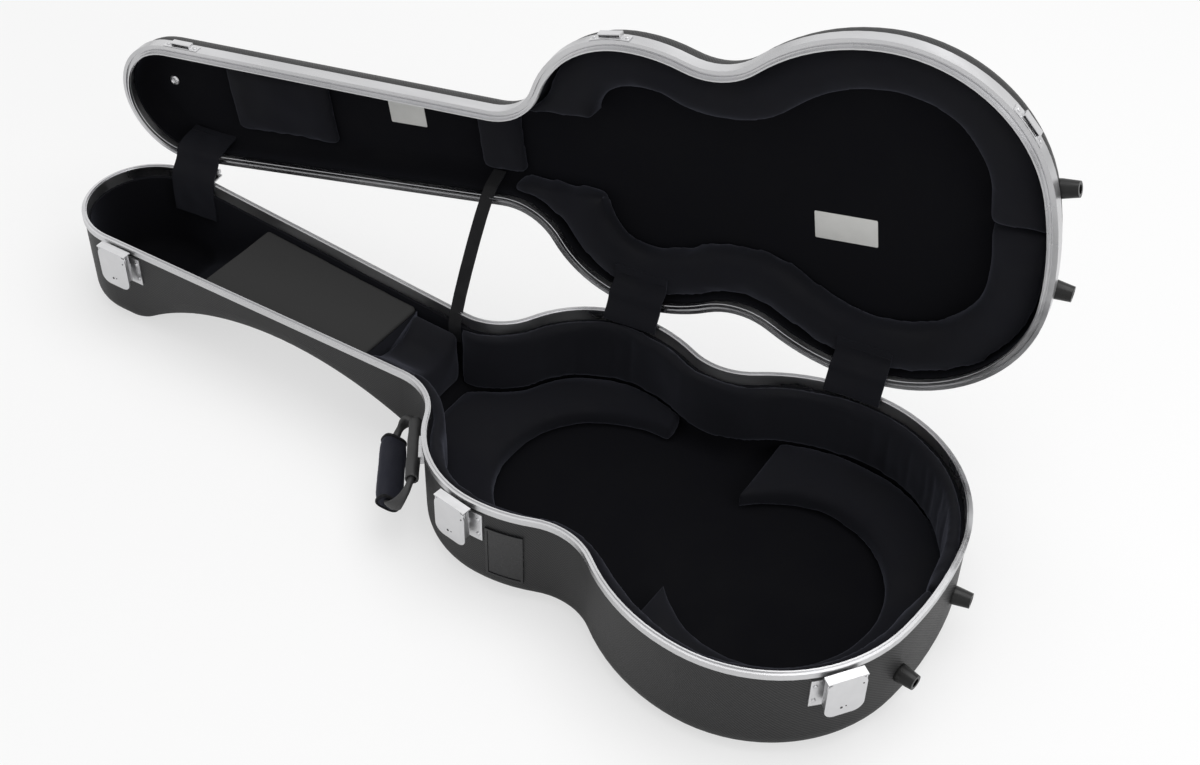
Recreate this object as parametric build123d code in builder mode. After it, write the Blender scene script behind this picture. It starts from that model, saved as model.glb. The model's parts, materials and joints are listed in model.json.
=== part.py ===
"""Hard case for a classical guitar, lying on its back with the lid open.

Millimetres, +Z up, floor at z = 0. X runs along the centreline from the head (-X)
to the tail (+X), the latch side faces -Y and the hinge side faces +Y. The origin is
on the floor under the widest point of the body. Everything on the lid is drawn as if
the lid were closed and is then turned open about the hinge line.
"""

from build123d import *
from math import acos, asin, atan2, cos, degrees, hypot, radians, sin, sqrt, tan
import os

# Case outline, half widths at stations along the centreline
head_x = -909.0
tail_x = 166.0
neck_taper = 2.3
upper_bout_x = -260.0
waist_x = -167.0
lower_bout_half = 198.0
upper_bout_step = 37.5
waist_step = 56.0
head_step = 124.5
upper_bout_half = lower_bout_half - upper_bout_step
waist_half = lower_bout_half - waist_step
head_radius = lower_bout_half - head_step
shoulder_radius = 117.5
shoulder_fillet = 61.0
waist_radius = 70.0
tail_end_radius = 390.0

# Shells
rim_z = 120.0
lid_depth = 46.0
shell_wall = 2.5
base_inset = 1.7
base_round = 25.0
arch_x = -594.0
arch_rise = 70.0
arch_radius = 350.0
arch_blend = 40.0
lid_inset = 0.3
lid_round = 28.0
lid_edge = 4.5
seat_gap = 0.1
fit_gap = 0.2
soft_gap = 0.3

# Rim extrusion of the base
rim_width = 5.5
rim_cap = 2.0
rim_band = 7.0
rim_band_wall = 1.5
rim_flange = 14.0
rim_flange_wall = 1.1
bead_inset = 3.0
bead_width = 1.2
bead_height = 1.5

# Rim extrusion of the lid
closing_gap = 0.3
lid_overhang = 1.5
lid_band = 14.0
lid_face_width = 9.0
lid_face = 4.0
groove_play = 0.6
groove_depth = 1.9
lid_lip_inset = 7.0
lid_lip_wall = 1.5
lid_lip_drop = 3.0
lid_flange_inset = 3.1
lid_flange_wall = 1.5
lid_flange = 12.0

# Hinges
open_angle = 91.0
axis_out = 6.0
axis_up = 3.0
head_hinge_x = -827.0
knuckle_radius = 3.5
knuckle_length = 14.0
knuckle_gap = 0.4
hinge_pin_radius = 1.6
pin_head_radius = 2.45
pin_head = 1.0
running_play = 0.05
leaf_width = 50.0
leaf_wall = 1.5
leaf_drop = 34.0
leaf_lip = 1.0
lid_leaf_low = 7.2
lid_leaf_high = 17.0
web_half = 1.5
web_gap = 0.5
rivet_radius = 2.2
rivet_head = 1.2
hinge_rivet_pitch = 34.0
hinge_rivet_drop = 22.0
lid_rivet_rise = 11.0

# Latches
head_latch_x = -812.0
upper_latch_x = -274.0
lower_latch_x = 133.0
latch_pivot_out = 3.3
latch_pivot_drop = 26.0
latch_pin_radius = 1.25
link_reach = 9.0
link_angle = 65.0
link_radius = 3.0
link_half = 13.0
ear_gap = 0.5
ear_wall = 1.5
ear_radius = 3.4
ear_root = 1.4
cover_half = 20.0
cover_height = 50.0
cover_wall = 1.5
cover_corner = 11.0
cover_out = 3.3
cover_flange_in = 2.1
cover_flange_drop = 36.0
lip_reach = 2.0
lip_gap = 0.3
plate_high = 12.0
plate_low = 48.0
plate_near = 17.0
plate_far = 29.0
latch_rivet_u = 24.8
latch_rivet_pitch = 20.0
strike_half = 22.0
strike_low = 1.0
strike_high = 10.9
strike_wall = 1.0
bridge_half = 12.5
bridge_out = 3.6
bridge_low = 3.2
bridge_wall = 1.2
strike_rivet_u = 17.5

# Handle
handle_way = -145.0
handle_drop = 34.0
handle_out = 9.2
sleeve_shift = -6.0
sleeve_length = 82.0
sleeve_radius = 7.0
strap_radius = 4.2
strap_gap = 0.3
strap_bend = 11.0
grip_offset = 41.0
grip_angle = 53.0
handle_lift = 65.0
loop_near_length = 104.0
loop_far_length = 116.0
grip_length = 90.0
grip_width = 29.0
grip_depth = 18.0
grip_round = 8.1
grip_end_run = 7.0
grip_neck_less = 1.2
grip_end_less = 4.5
bracket_length = 30.0
bracket_height = 10.0

# Feet
foot_turn = 8.4
base_foot_drop = 65.0
lid_foot_rise = 25.0
foot_radius = 9.5
foot_tip_radius = 7.8
foot_length = 17.0
foot_bore = 4.5
foot_bore_depth = 9.0
foot_sink = 8.0

# Lining and padding of the base
lining_wall = 4.0
panel_wall = 12.0
panel_low = 34.0
panel_high = 112.0
panel_start_x = -420.0
panel_round = 4.0
tail_split_y = 5.0
pad_high = 33.0
pad_round = 8.0
upper_pad_x = -206.0
upper_pad_radius = 113.0
upper_pad_end_x = -196.0
lower_pad_x = -5.0
lower_pad_radius = 111.0
lower_pad_end_x = -92.0
cushion_start_x = -487.0
cushion_end_x = -421.0
cushion_high = 104.0
cushion_inset = 16.0
cushion_round = 7.0
cradle_radius = 38.0
cradle_low = 84.0

# Accessory box in the neck
box_start_x = -709.0
box_end_x = -489.0
box_wall = 4.0
box_end_wall = 5.0
box_high = 95.0
box_lid_wall = 5.0
box_lid_corner = 14.0

# Lining and padding of the lid
lid_lining_wall = 4.0
lid_pad_inner = 64.0
lid_pad_low = 12.0
lid_pad_start_x = -420.0
lid_pad_round = 10.0
lid_pad_end_latch = 54.0
lid_pad_end_hinge = 36.0
lid_tail_split_y = -9.0
neck_pad_x = -433.0
neck_pad_length = 54.0
neck_pad_y = -5.0
neck_pad_width = 80.0
neck_pad_wall = 12.0
head_pad_x = -715.0
head_pad_length = 138.0
head_pad_width = 84.0
head_pad_wall = 10.0
soft_round = 4.0

# Trim
badge_x = -222.0
badge_drop = 60.0
badge_width = 40.0
badge_height = 66.0
badge_wall = 2.0
badge_border = 2.5
badge_recess = 0.8
flap_width = 60.0
head_flap_width = 56.0
flap_wall = 2.0
flap_hang = 52.0
stay_x = -434.0
stay_width = 14.0
stay_wall = 1.6
stay_low = 84.0
stay_lid_x = -440.0
snap_x = -867.0
snap_y = -5.0
snap_radius = 6.0
snap_wall = 2.0
label_wall = 0.6
label_corner = 1.5
neck_label_x = -551.5
neck_label_y = -12.0
neck_label_size = (45.0, 28.0)
body_label_x = -52.0
body_label_y = 40.0
body_label_size = (66.0, 32.0)


def polar(centre, radius, angle):
    """Point at an angle in degrees on a circle."""
    return (
        centre[0] + radius * cos(radians(angle)),
        centre[1] + radius * sin(radians(angle)),
    )


def s_curve(run, rise):
    """Sum of the two radii of an S curve with level ends, and the angle it turns."""
    total = (run * run + rise * rise) / (2 * rise)
    return total, degrees(asin(run / total))


# Centres and radii of the arcs of the outline, hinge side
head_centre = (head_x + head_radius, 0.0)
shoulder_centre = (upper_bout_x, upper_bout_half - shoulder_radius)
neck_start = polar(head_centre, head_radius, 90 - neck_taper)
neck_way = (cos(radians(neck_taper)), -sin(radians(neck_taper)))
neck_out = (-neck_way[1], neck_way[0])
corner_to_shoulder = (
    neck_start[0] + neck_out[0] * shoulder_fillet - shoulder_centre[0],
    neck_start[1] + neck_out[1] * shoulder_fillet - shoulder_centre[1],
)
along = corner_to_shoulder[0] * neck_way[0] + corner_to_shoulder[1] * neck_way[1]
away_squared = corner_to_shoulder[0] ** 2 + corner_to_shoulder[1] ** 2
reach = shoulder_radius + shoulder_fillet
neck_length = -along - sqrt(along * along - away_squared + reach * reach)
neck_end = (
    neck_start[0] + neck_way[0] * neck_length,
    neck_start[1] + neck_way[1] * neck_length,
)
corner_centre = (
    neck_end[0] + neck_out[0] * shoulder_fillet,
    neck_end[1] + neck_out[1] * shoulder_fillet,
)
corner_turn = degrees(
    atan2(
        shoulder_centre[1] - corner_centre[1],
        shoulder_centre[0] - corner_centre[0],
    )
)
upper_sum, upper_turn = s_curve(waist_x - upper_bout_x, upper_bout_half - waist_half)
lower_sum, lower_turn = s_curve(-waist_x, lower_bout_half - waist_half)
upper_radius = upper_sum - waist_radius
lower_radius = lower_sum - waist_radius
upper_centre = (upper_bout_x, upper_bout_half - upper_radius)
waist_centre = (waist_x, waist_half + waist_radius)
lower_centre = (0.0, lower_bout_half - lower_radius)
tail_radius = (
    tail_x**2 + lower_bout_half**2 - 2 * tail_x * tail_end_radius
) / (2 * (lower_bout_half - tail_end_radius))
tail_centre = (0.0, lower_bout_half - tail_radius)
tail_end_centre = (tail_x - tail_end_radius, 0.0)
tail_turn = degrees(
    atan2(tail_centre[1] - tail_end_centre[1], tail_centre[0] - tail_end_centre[0])
)


def outline(out=0.0, neck=True):
    """Edges of the case outline moved outwards by out, with or without its neck."""
    with BuildLine() as path:
        CenterArc(tail_end_centre, tail_end_radius + out, 0, tail_turn)
        CenterArc(tail_centre, tail_radius + out, tail_turn, 90 - tail_turn)
        CenterArc(lower_centre, lower_radius + out, 90, lower_turn)
        CenterArc(waist_centre, waist_radius - out, 270 - upper_turn, upper_turn + lower_turn)
        CenterArc(upper_centre, upper_radius + out, 90 - upper_turn, upper_turn)
        if neck:
            CenterArc(shoulder_centre, shoulder_radius + out, 90, 90 + corner_turn)
            CenterArc(
                corner_centre,
                shoulder_fillet - out,
                270 - neck_taper,
                90 + corner_turn + neck_taper,
            )
            Line(
                (neck_end[0] + neck_out[0] * out, neck_end[1] + neck_out[1] * out),
                (neck_start[0] + neck_out[0] * out, neck_start[1] + neck_out[1] * out),
            )
            CenterArc(head_centre, head_radius + out, 90 - neck_taper, 90 + neck_taper)
        else:
            CenterArc(shoulder_centre, shoulder_radius + out, 90, 90)
            Line(
                (shoulder_centre[0] - shoulder_radius - out, shoulder_centre[1]),
                (shoulder_centre[0] - shoulder_radius - out, 0),
            )
        mirror(about=Plane.XZ)
    return path.edges()



# Hinge axis, which touches the shoulder and the lower bout at the same distance
between_x = lower_centre[0] - shoulder_centre[0]
between_y = shoulder_centre[1] - lower_centre[1]
hinge_way = degrees(
    asin((lower_radius - shoulder_radius) / hypot(between_x, between_y))
    - atan2(between_y, between_x)
)
hinge_out = 90 + hinge_way
axis_z = rim_z + axis_up
axis_start = polar(shoulder_centre, shoulder_radius + axis_out, hinge_out)

# The lid is drawn closed, in this plane, which stands open
closed_at_axis = Location((axis_start[0], axis_start[1], axis_z), (0, 0, hinge_way))
lid_place = closed_at_axis * Location((0, 0, 0), (-open_angle, 0, 0)) * closed_at_axis.inverse()
lid_plane = Plane(lid_place)
lid_up = Axis(lid_plane.origin, lid_plane.z_dir)


def band(inner, outer):
    """Flat band along the outline between two distances outwards of it."""
    with BuildSketch() as face:
        make_face(outline(outer))
        make_face(outline(inner), mode=Mode.SUBTRACT)
    return face.sketch


def arc_spot(centre, radius, way):
    """Spot (x, y, way) on an arc of the wall that faces outwards along way degrees."""
    return (*polar(centre, radius, way), way)


def neck_spot(x, side, out=0.0):
    """Spot on the straight neck wall at x, on the hinge side (1) or the latch side (-1)."""
    y = neck_start[1] - (x - neck_start[0]) * tan(radians(neck_taper))
    return (x + neck_out[0] * out, side * (y + neck_out[1] * out), side * (90 - neck_taper))


def wall_plane(spot, height=0.0, frame=Plane.XY):
    """Plane at a spot of the wall, above the rim: x along the rim, y up, z outwards."""
    way = radians(spot[2])
    upright = Plane(
        origin=(spot[0], spot[1], rim_z + height),
        x_dir=(-sin(way), cos(way), 0),
        z_dir=(cos(way), sin(way), 0),
    )
    return Plane(frame.location * upright.location)


def section_plane(spot, shift=0.0, height=0.0, frame=Plane.XY):
    """Plane across the wall at a spot: x outwards, y up, moved along the rim by shift."""
    way = radians(spot[2])
    across = Plane(
        origin=(spot[0] - sin(way) * shift, spot[1] + cos(way) * shift, rim_z + height),
        x_dir=(cos(way), sin(way), 0),
        z_dir=(sin(way), -cos(way), 0),
    )
    return Plane(frame.location * across.location)


def strip(spot, span, inner, outer, low, high, frame=Plane.XY):
    """Plate that follows the wall at a spot, between two distances outwards and heights."""
    reach = 60.0
    with BuildPart() as plate:
        with BuildSketch(frame.offset(rim_z + low)):
            add(band(inner, outer))
            with Locations(Location((spot[0], spot[1], 0), (0, 0, spot[2] + 90))):
                with Locations(((span[0] + span[1]) / 2, 0)):
                    Rectangle(span[1] - span[0], reach, mode=Mode.INTERSECT)
        extrude(amount=high - low)
    return plate.part


def rivet(spot, height, frame=Plane.XY):
    """Domed rivet head on the wall at a spot."""
    seat = wall_plane(spot, height, frame)
    with BuildPart() as head:
        with BuildSketch(seat):
            Circle(rivet_radius)
        extrude(amount=rivet_head)
        fillet(head.edges().sort_by(Axis(seat.origin, seat.z_dir))[-1], rivet_head / 2)
    return head.part


def base_form(out, wall):
    """Solid inside the base: its sides moved outwards by out and its floor raised by wall."""
    arch_centre_z = arch_rise - arch_radius
    radius = arch_radius + wall
    half = sqrt(radius**2 - (arch_centre_z - wall) ** 2)
    beyond = 10.0
    with BuildPart() as form:
        with BuildSketch(Plane.XZ) as side:
            with BuildLine():
                Polyline(
                    (arch_x - half, wall),
                    (head_x - beyond, wall),
                    (head_x - beyond, rim_z),
                    (tail_x + beyond, rim_z),
                    (tail_x + beyond, wall),
                    (arch_x + half, wall),
                )
                ThreePointArc(
                    (arch_x + half, wall),
                    (arch_x, arch_centre_z + radius),
                    (arch_x - half, wall),
                )
            make_face()
            corners = side.vertices().filter_by(lambda v: abs(abs(v.X - arch_x) - half) < 1)
            fillet(corners, arch_blend - wall)
        extrude(amount=2 * lower_bout_half, both=True)
        with BuildSketch():
            make_face(outline(out))
        extrude(amount=rim_z, mode=Mode.INTERSECT)
        low = form.edges().filter_by(lambda e: e.center().Z < rim_z - 1)
        fillet(low - low.filter_by(Axis.Y) - low.filter_by(Axis.Z), base_round - wall)
    return form.part


def lid_form(out, wall, edge):
    """Solid inside the lid, from edge above the rim up to the roof lowered by wall."""
    with BuildPart() as form:
        with BuildSketch(lid_plane.offset(rim_z + edge)):
            make_face(outline(out))
        extrude(amount=lid_depth - wall - edge)
        top = form.faces().sort_by(lid_up)[-1]
        fillet(top.edges(), lid_round - wall)
    return form.part


pieces = []


def keep(builder, name):
    """Label a finished piece and put it with the pieces to write."""
    builder.part.label = name
    pieces.append(builder.part)


# Base shell, rim and lining
base_outer = base_form(-base_inset, 0)
base_inner = base_form(-base_inset - shell_wall, shell_wall)
lining_out = -base_inset - shell_wall - lining_wall
lining_inner = base_form(lining_out, shell_wall + lining_wall)

with BuildPart() as base_shell:
    add(base_outer)
    add(base_inner, mode=Mode.SUBTRACT)
    with BuildSketch(Plane.XY.offset(rim_z - rim_cap - fit_gap)):
        make_face(outline(0))
    extrude(amount=rim_cap + fit_gap, mode=Mode.SUBTRACT)
keep(base_shell, "base_shell")

with BuildPart() as base_rim:
    with BuildSketch(Plane.XY.offset(rim_z - rim_cap)):
        add(band(-rim_width, 0))
    extrude(amount=rim_cap)
    with BuildSketch(Plane.XY.offset(rim_z - rim_band)):
        add(band(-rim_band_wall, 0))
    extrude(amount=rim_band)
    with BuildSketch(Plane.XY.offset(rim_z - rim_flange)):
        add(band(-rim_width, -rim_width + rim_flange_wall))
    extrude(amount=rim_flange)
    with BuildSketch(Plane.XY.offset(rim_z)):
        add(band(-bead_inset - bead_width, -bead_inset))
    extrude(amount=bead_height)
keep(base_rim, "base_rim")

with BuildPart() as base_lining:
    add(base_inner)
    add(lining_inner, mode=Mode.SUBTRACT)
    with BuildSketch(Plane.XY.offset(rim_z - rim_flange - soft_gap)):
        make_face(outline(0))
    extrude(amount=rim_flange + soft_gap, mode=Mode.SUBTRACT)
keep(base_lining, "base_lining")

# Lid shell, rim and lining
lid_outer = lid_form(-lid_inset, 0, lid_edge)
lid_inner = lid_form(-lid_inset - shell_wall, shell_wall, lid_edge)
lid_lining_edge = lid_flange + soft_gap
lid_lining_out = -lid_inset - shell_wall - lid_lining_wall
lid_lining_outer = lid_form(-lid_inset - shell_wall, shell_wall, lid_lining_edge)
lid_lining_inner = lid_form(lid_lining_out, shell_wall + lid_lining_wall, lid_lining_edge)

with BuildPart() as lid_shell:
    add(lid_outer)
    add(lid_inner, mode=Mode.SUBTRACT)
keep(lid_shell, "lid_shell")

with BuildPart() as lid_rim:
    with BuildSketch(lid_plane.offset(rim_z + closing_gap)):
        add(band(-lid_face_width, lid_overhang))
    extrude(amount=lid_face)
    with BuildSketch(lid_plane.offset(rim_z + closing_gap)):
        add(band(0, lid_overhang))
    extrude(amount=lid_band - closing_gap)
    with BuildSketch(lid_plane.offset(rim_z + closing_gap + lid_face)):
        add(band(-lid_flange_inset - lid_flange_wall, -lid_flange_inset))
    extrude(amount=lid_flange - closing_gap - lid_face)
    with BuildSketch(lid_plane.offset(rim_z - lid_lip_drop)):
        add(band(-lid_lip_inset - lid_lip_wall, -lid_lip_inset))
    extrude(amount=lid_lip_drop + closing_gap)
    with BuildSketch(lid_plane.offset(rim_z + closing_gap)):
        add(band(-bead_inset - bead_width - groove_play, -bead_inset + groove_play))
    extrude(amount=groove_depth, mode=Mode.SUBTRACT)
keep(lid_rim, "lid_rim")

with BuildPart() as lid_lining:
    add(lid_lining_outer)
    add(lid_lining_inner, mode=Mode.SUBTRACT)
keep(lid_lining, "lid_lining")

# Side panels of the base, which stand on the floor pads
for side, name in ((1, "hinge"), (-1, "latch")):
    with BuildPart() as side_panel:
        with BuildSketch(Plane.XY.offset(panel_low)):
            add(band(lining_out - panel_wall, lining_out - soft_gap))
            split_y = tail_split_y + side * soft_gap / 2
            with Locations(((panel_start_x + tail_x) / 2, split_y + side * lower_bout_half)):
                Rectangle(tail_x - panel_start_x, 2 * lower_bout_half, mode=Mode.INTERSECT)
        extrude(amount=panel_high - panel_low)
        inner_top = side_panel.faces().sort_by(Axis.Z)[-1].edges()
        fillet(inner_top.filter_by(lambda e: e.length > panel_wall + 1), panel_round)
        add(lining_inner, mode=Mode.INTERSECT)
    keep(side_panel, f"base_side_panel_{name}")

# Floor pads of the base, each open towards the middle
for name, centre_x, radius, ends in (
    ("upper", upper_pad_x, upper_pad_radius, (panel_start_x, upper_pad_end_x)),
    ("lower", lower_pad_x, lower_pad_radius, (lower_pad_end_x, tail_x)),
):
    with BuildPart() as floor_pad:
        with BuildSketch():
            make_face(outline(lining_out - soft_gap))
            with Locations((centre_x, 0)):
                Circle(radius, mode=Mode.SUBTRACT)
            with Locations(((ends[0] + ends[1]) / 2, 0)):
                Rectangle(ends[1] - ends[0], 2 * lower_bout_half, mode=Mode.INTERSECT)
        extrude(amount=pad_high)
        round_edges = floor_pad.faces().sort_by(Axis.Z)[-1].edges().filter_by(GeomType.CIRCLE)
        fillet(round_edges.filter_by(lambda e: abs(e.radius - radius) < 1), pad_round)
        add(lining_inner, mode=Mode.INTERSECT)
    keep(floor_pad, f"{name}_bout_pad")

# Neck cushion with its cradle
cradle_z = cradle_low + cradle_radius
with BuildPart() as neck_cushion:
    with BuildSketch(Plane.YZ.offset(cushion_start_x)):
        with Locations((0, cushion_high / 2)):
            Rectangle(4 * head_radius, cushion_high)
        with Locations((0, cradle_z)):
            Circle(cradle_radius, mode=Mode.SUBTRACT)
    extrude(amount=cushion_end_x - cushion_start_x)
    with BuildSketch():
        make_face(outline(-cushion_inset))
    extrude(amount=rim_z, mode=Mode.INTERSECT)
    ends = neck_cushion.faces().filter_by(Axis.X).edges()
    high_ends = ends.filter_by(lambda e: e.center().Z > cradle_low - 1)
    fillet(high_ends.filter_by(Axis.Z, reverse=True), cushion_round)
    add(lining_inner, mode=Mode.INTERSECT)
keep(neck_cushion, "neck_cushion")

# Accessory box in the neck, and its padded lid
box_inset = lining_out - soft_gap
with BuildPart() as accessory_box:
    with BuildSketch():
        make_face(outline(box_inset))
        with Locations(((box_start_x + box_end_x) / 2, 0)):
            Rectangle(box_end_x - box_start_x, 4 * head_radius, mode=Mode.INTERSECT)
    extrude(amount=box_high)
    with BuildSketch():
        make_face(outline(box_inset - box_wall))
        with Locations(((box_start_x + box_end_x) / 2, 0)):
            inside = box_end_x - box_start_x - 2 * box_end_wall
            Rectangle(inside, 4 * head_radius, mode=Mode.INTERSECT)
    extrude(amount=box_high, mode=Mode.SUBTRACT)
    add(lining_inner, mode=Mode.INTERSECT)
keep(accessory_box, "accessory_box")

box_lid_inset = box_inset - soft_gap
box_lid_half = box_lid_wall / 2
box_length = box_end_x - box_start_x
box_lid_roll = neck_spot((box_start_x + box_end_x) / 2, 1, box_lid_inset - box_lid_half)
roll_height = box_high + soft_gap + box_lid_half - rim_z
with BuildPart() as accessory_box_lid:
    with BuildSketch(Plane.XY.offset(box_high + soft_gap)) as lid_plan:
        make_face(outline(box_lid_inset))
        with Locations(((box_start_x + box_end_x) / 2, 0)):
            Rectangle(box_length, 4 * head_radius, mode=Mode.INTERSECT)
        with Locations(Location((*box_lid_roll[:2], 0), (0, 0, box_lid_roll[2] - 90))):
            with Locations((0, box_lid_wall)):
                Rectangle(2 * box_length, 2 * box_lid_wall, mode=Mode.SUBTRACT)
        near_corners = lid_plan.vertices().sort_by(Axis.Y)[:2]
        fillet(near_corners, box_lid_corner)
    extrude(amount=box_lid_wall)
    top = accessory_box_lid.faces().sort_by(Axis.Z)[-1]
    fillet(top.edges().sort_by(Axis.Y)[:-1], box_lid_wall / 3)
    with BuildSketch(section_plane(box_lid_roll, 0, roll_height)):
        Circle(box_lid_half)
    extrude(amount=box_length / 2 - box_lid_half, both=True)
keep(accessory_box_lid, "accessory_box_lid")

# Pads along the sides of the lid
lid_roof = lid_depth - shell_wall - lid_lining_wall
lid_space = lid_form(lid_lining_out, shell_wall + lid_lining_wall, 0)
with BuildSketch() as lid_middle:
    make_face(outline(-lid_pad_inner + soft_gap, neck=False))


def on_pad_lip(edge):
    """True for an edge along the inner side of a lid pad."""
    middle = lid_plane.to_local_coords(edge @ 0.5)
    return lid_middle.face().is_inside(Vector(middle.X, middle.Y, 0))


for side, name, end_y in ((1, "hinge", lid_pad_end_hinge), (-1, "latch", lid_pad_end_latch)):
    with BuildPart() as lid_pad:
        with BuildSketch(lid_plane.offset(rim_z + lid_pad_low)):
            make_face(outline(lid_lining_out - soft_gap))
            make_face(outline(-lid_pad_inner, neck=False), mode=Mode.SUBTRACT)
            split_y = lid_tail_split_y + side * soft_gap / 2
            with Locations(((lid_pad_start_x + tail_x) / 2, split_y + side * lower_bout_half)):
                Rectangle(tail_x - lid_pad_start_x, 2 * lower_bout_half, mode=Mode.INTERSECT)
            with Locations((lid_pad_start_x, 0)):
                Rectangle(2 * (upper_bout_x - lid_pad_start_x), 2 * end_y, mode=Mode.SUBTRACT)
        extrude(amount=lid_roof - lid_pad_low)
        mouth = lid_pad.faces().sort_by(lid_up)[0]
        fillet(mouth.edges().filter_by(on_pad_lip), lid_pad_round)
        add(lid_space, mode=Mode.INTERSECT)
    keep(lid_pad, f"lid_side_pad_{name}")

with BuildPart() as lid_neck_pad:
    with BuildSketch(lid_plane.offset(rim_z + lid_roof - neck_pad_wall)):
        with Locations((neck_pad_x, neck_pad_y)):
            RectangleRounded(neck_pad_length, neck_pad_width, 2 * soft_round)
    extrude(amount=neck_pad_wall)
    fillet(lid_neck_pad.faces().sort_by(lid_up)[0].edges(), soft_round)
    add(lid_space, mode=Mode.INTERSECT)
keep(lid_neck_pad, "lid_neck_pad")

with BuildPart() as lid_head_pad:
    with BuildSketch(lid_plane.offset(rim_z + lid_roof - head_pad_wall)):
        with Locations((head_pad_x, 0)):
            RectangleRounded(head_pad_length, head_pad_width, 2 * soft_round)
    extrude(amount=head_pad_wall)
    fillet(lid_head_pad.faces().sort_by(lid_up)[0].edges(), soft_round)
    add(lid_space, mode=Mode.INTERSECT)
keep(lid_head_pad, "lid_head_pad")

# Snap and bare labels on the lid lining
with BuildPart() as lid_snap:
    with BuildSketch(lid_plane.offset(rim_z + lid_roof)):
        with Locations((snap_x, snap_y)):
            Circle(snap_radius)
    extrude(amount=-snap_wall)
    fillet(lid_snap.edges().sort_by(lid_up)[0], snap_wall / 2)
keep(lid_snap, "lid_snap")

for name, x, y, size in (
    ("neck_label", neck_label_x, neck_label_y, neck_label_size),
    ("body_label", body_label_x, body_label_y, body_label_size),
):
    with BuildPart() as label:
        with BuildSketch(lid_plane.offset(rim_z + lid_roof)):
            with Locations((x, y)):
                RectangleRounded(size[0], size[1], label_corner)
        extrude(amount=-label_wall)
    keep(label, name)


# Hinges: a leaf on each rim, three knuckles in turn and a pin
def axis_spot(x):
    """Spot on the hinge axis at x, facing outwards across it."""
    run = x - axis_start[0]
    return (x, axis_start[1] + run * tan(radians(hinge_way)), hinge_out)


hinge_spots = {
    "head": (head_hinge_x, lambda u, out: neck_spot(head_hinge_x - u, 1, out)),
    "upper": (
        axis_start[0],
        lambda u, out: arc_spot(
            shoulder_centre, shoulder_radius + out, hinge_out + degrees(u / shoulder_radius)
        ),
    ),
    "lower": (
        lower_centre[0] + lower_radius * cos(radians(hinge_out)),
        lambda u, out: arc_spot(
            lower_centre, lower_radius + out, hinge_out + degrees(u / lower_radius)
        ),
    ),
}
base_rivets = []
lid_rivets = []
web_reach = 30.0
for name, (hinge_x, wall_spot) in hinge_spots.items():
    spot = axis_spot(hinge_x)
    half = leaf_width / 2
    leaf_out = seat_gap + leaf_wall
    step = knuckle_length + knuckle_gap
    flange_low = -knuckle_radius - web_gap - leaf_wall
    with BuildPart() as base_leaf:
        wall = wall_spot(0, 0)
        span = (-half, half)
        under_band = -rim_band - fit_gap
        add(strip(wall, span, -base_inset + seat_gap, leaf_out, -leaf_drop, under_band))
        add(strip(wall, span, seat_gap, leaf_out, -leaf_drop, -leaf_lip))
        with BuildSketch(Plane.XY.offset(axis_z + flange_low)):
            with Locations(Location((spot[0], spot[1], 0), (0, 0, hinge_out + 90))):
                with Locations((0, web_reach / 2 - web_half)):
                    Rectangle(leaf_width - 2 * leaf_lip, web_reach)
            make_face(outline(seat_gap), mode=Mode.SUBTRACT)
        extrude(amount=leaf_wall)
        for shift in (-step, step):
            with BuildSketch(section_plane(spot, shift, axis_up)):
                with Locations((0, flange_low / 2)):
                    Rectangle(2 * web_half, -flange_low)
            extrude(amount=knuckle_length / 2, both=True)
            with BuildSketch(section_plane(spot, shift, axis_up)):
                Circle(knuckle_radius)
            extrude(amount=knuckle_length / 2, both=True)
            with BuildSketch(section_plane(spot, shift, axis_up)):
                Circle(hinge_pin_radius + running_play)
            extrude(amount=knuckle_length, both=True, mode=Mode.SUBTRACT)
    keep(base_leaf, f"{name}_hinge_base_leaf")

    with BuildPart() as lid_leaf:
        lid_leaf_out = lid_overhang + seat_gap + leaf_wall
        on_band = lid_overhang + seat_gap
        on_shell = -lid_inset + seat_gap
        over_band = lid_band + fit_gap
        add(strip(wall, span, on_band, lid_leaf_out, lid_leaf_low, lid_leaf_high, lid_plane))
        add(strip(wall, span, on_shell, lid_leaf_out, over_band, lid_leaf_high, lid_plane))
        with BuildSketch(lid_plane.offset(rim_z + lid_leaf_low)):
            with Locations(Location((spot[0], spot[1], 0), (0, 0, hinge_out + 90))):
                with Locations((0, web_reach / 2 - web_half)):
                    Rectangle(knuckle_length, web_reach)
            make_face(outline(on_band), mode=Mode.SUBTRACT)
        extrude(amount=leaf_wall)
        post = lid_leaf_low + leaf_wall - axis_up
        with BuildSketch(section_plane(spot, 0, axis_up, lid_plane)):
            with Locations((0, post / 2)):
                Rectangle(2 * web_half, post)
        extrude(amount=knuckle_length / 2, both=True)
        with BuildSketch(section_plane(spot, 0, axis_up, lid_plane)):
            Circle(knuckle_radius)
        extrude(amount=knuckle_length / 2, both=True)
        with BuildSketch(section_plane(spot, 0, axis_up, lid_plane)):
            Circle(hinge_pin_radius + running_play)
        extrude(amount=knuckle_length, both=True, mode=Mode.SUBTRACT)
    keep(lid_leaf, f"{name}_hinge_lid_leaf")

    with BuildPart() as hinge_pin:
        with BuildSketch(section_plane(spot, 0, axis_up)):
            Circle(hinge_pin_radius)
        extrude(amount=step + knuckle_length / 2, both=True)
        for end in (-1, 1):
            with BuildSketch(section_plane(spot, end * (step + knuckle_length / 2), axis_up)):
                Circle(pin_head_radius)
            extrude(amount=-end * pin_head)
    keep(hinge_pin, f"{name}_hinge_pin")
    for u in (-hinge_rivet_pitch / 2, hinge_rivet_pitch / 2):
        base_rivets.append(rivet(wall_spot(u, leaf_out), -hinge_rivet_drop))
        lid_rivets.append(rivet(wall_spot(u, lid_leaf_out), lid_rivet_rise, lid_plane))

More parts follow.
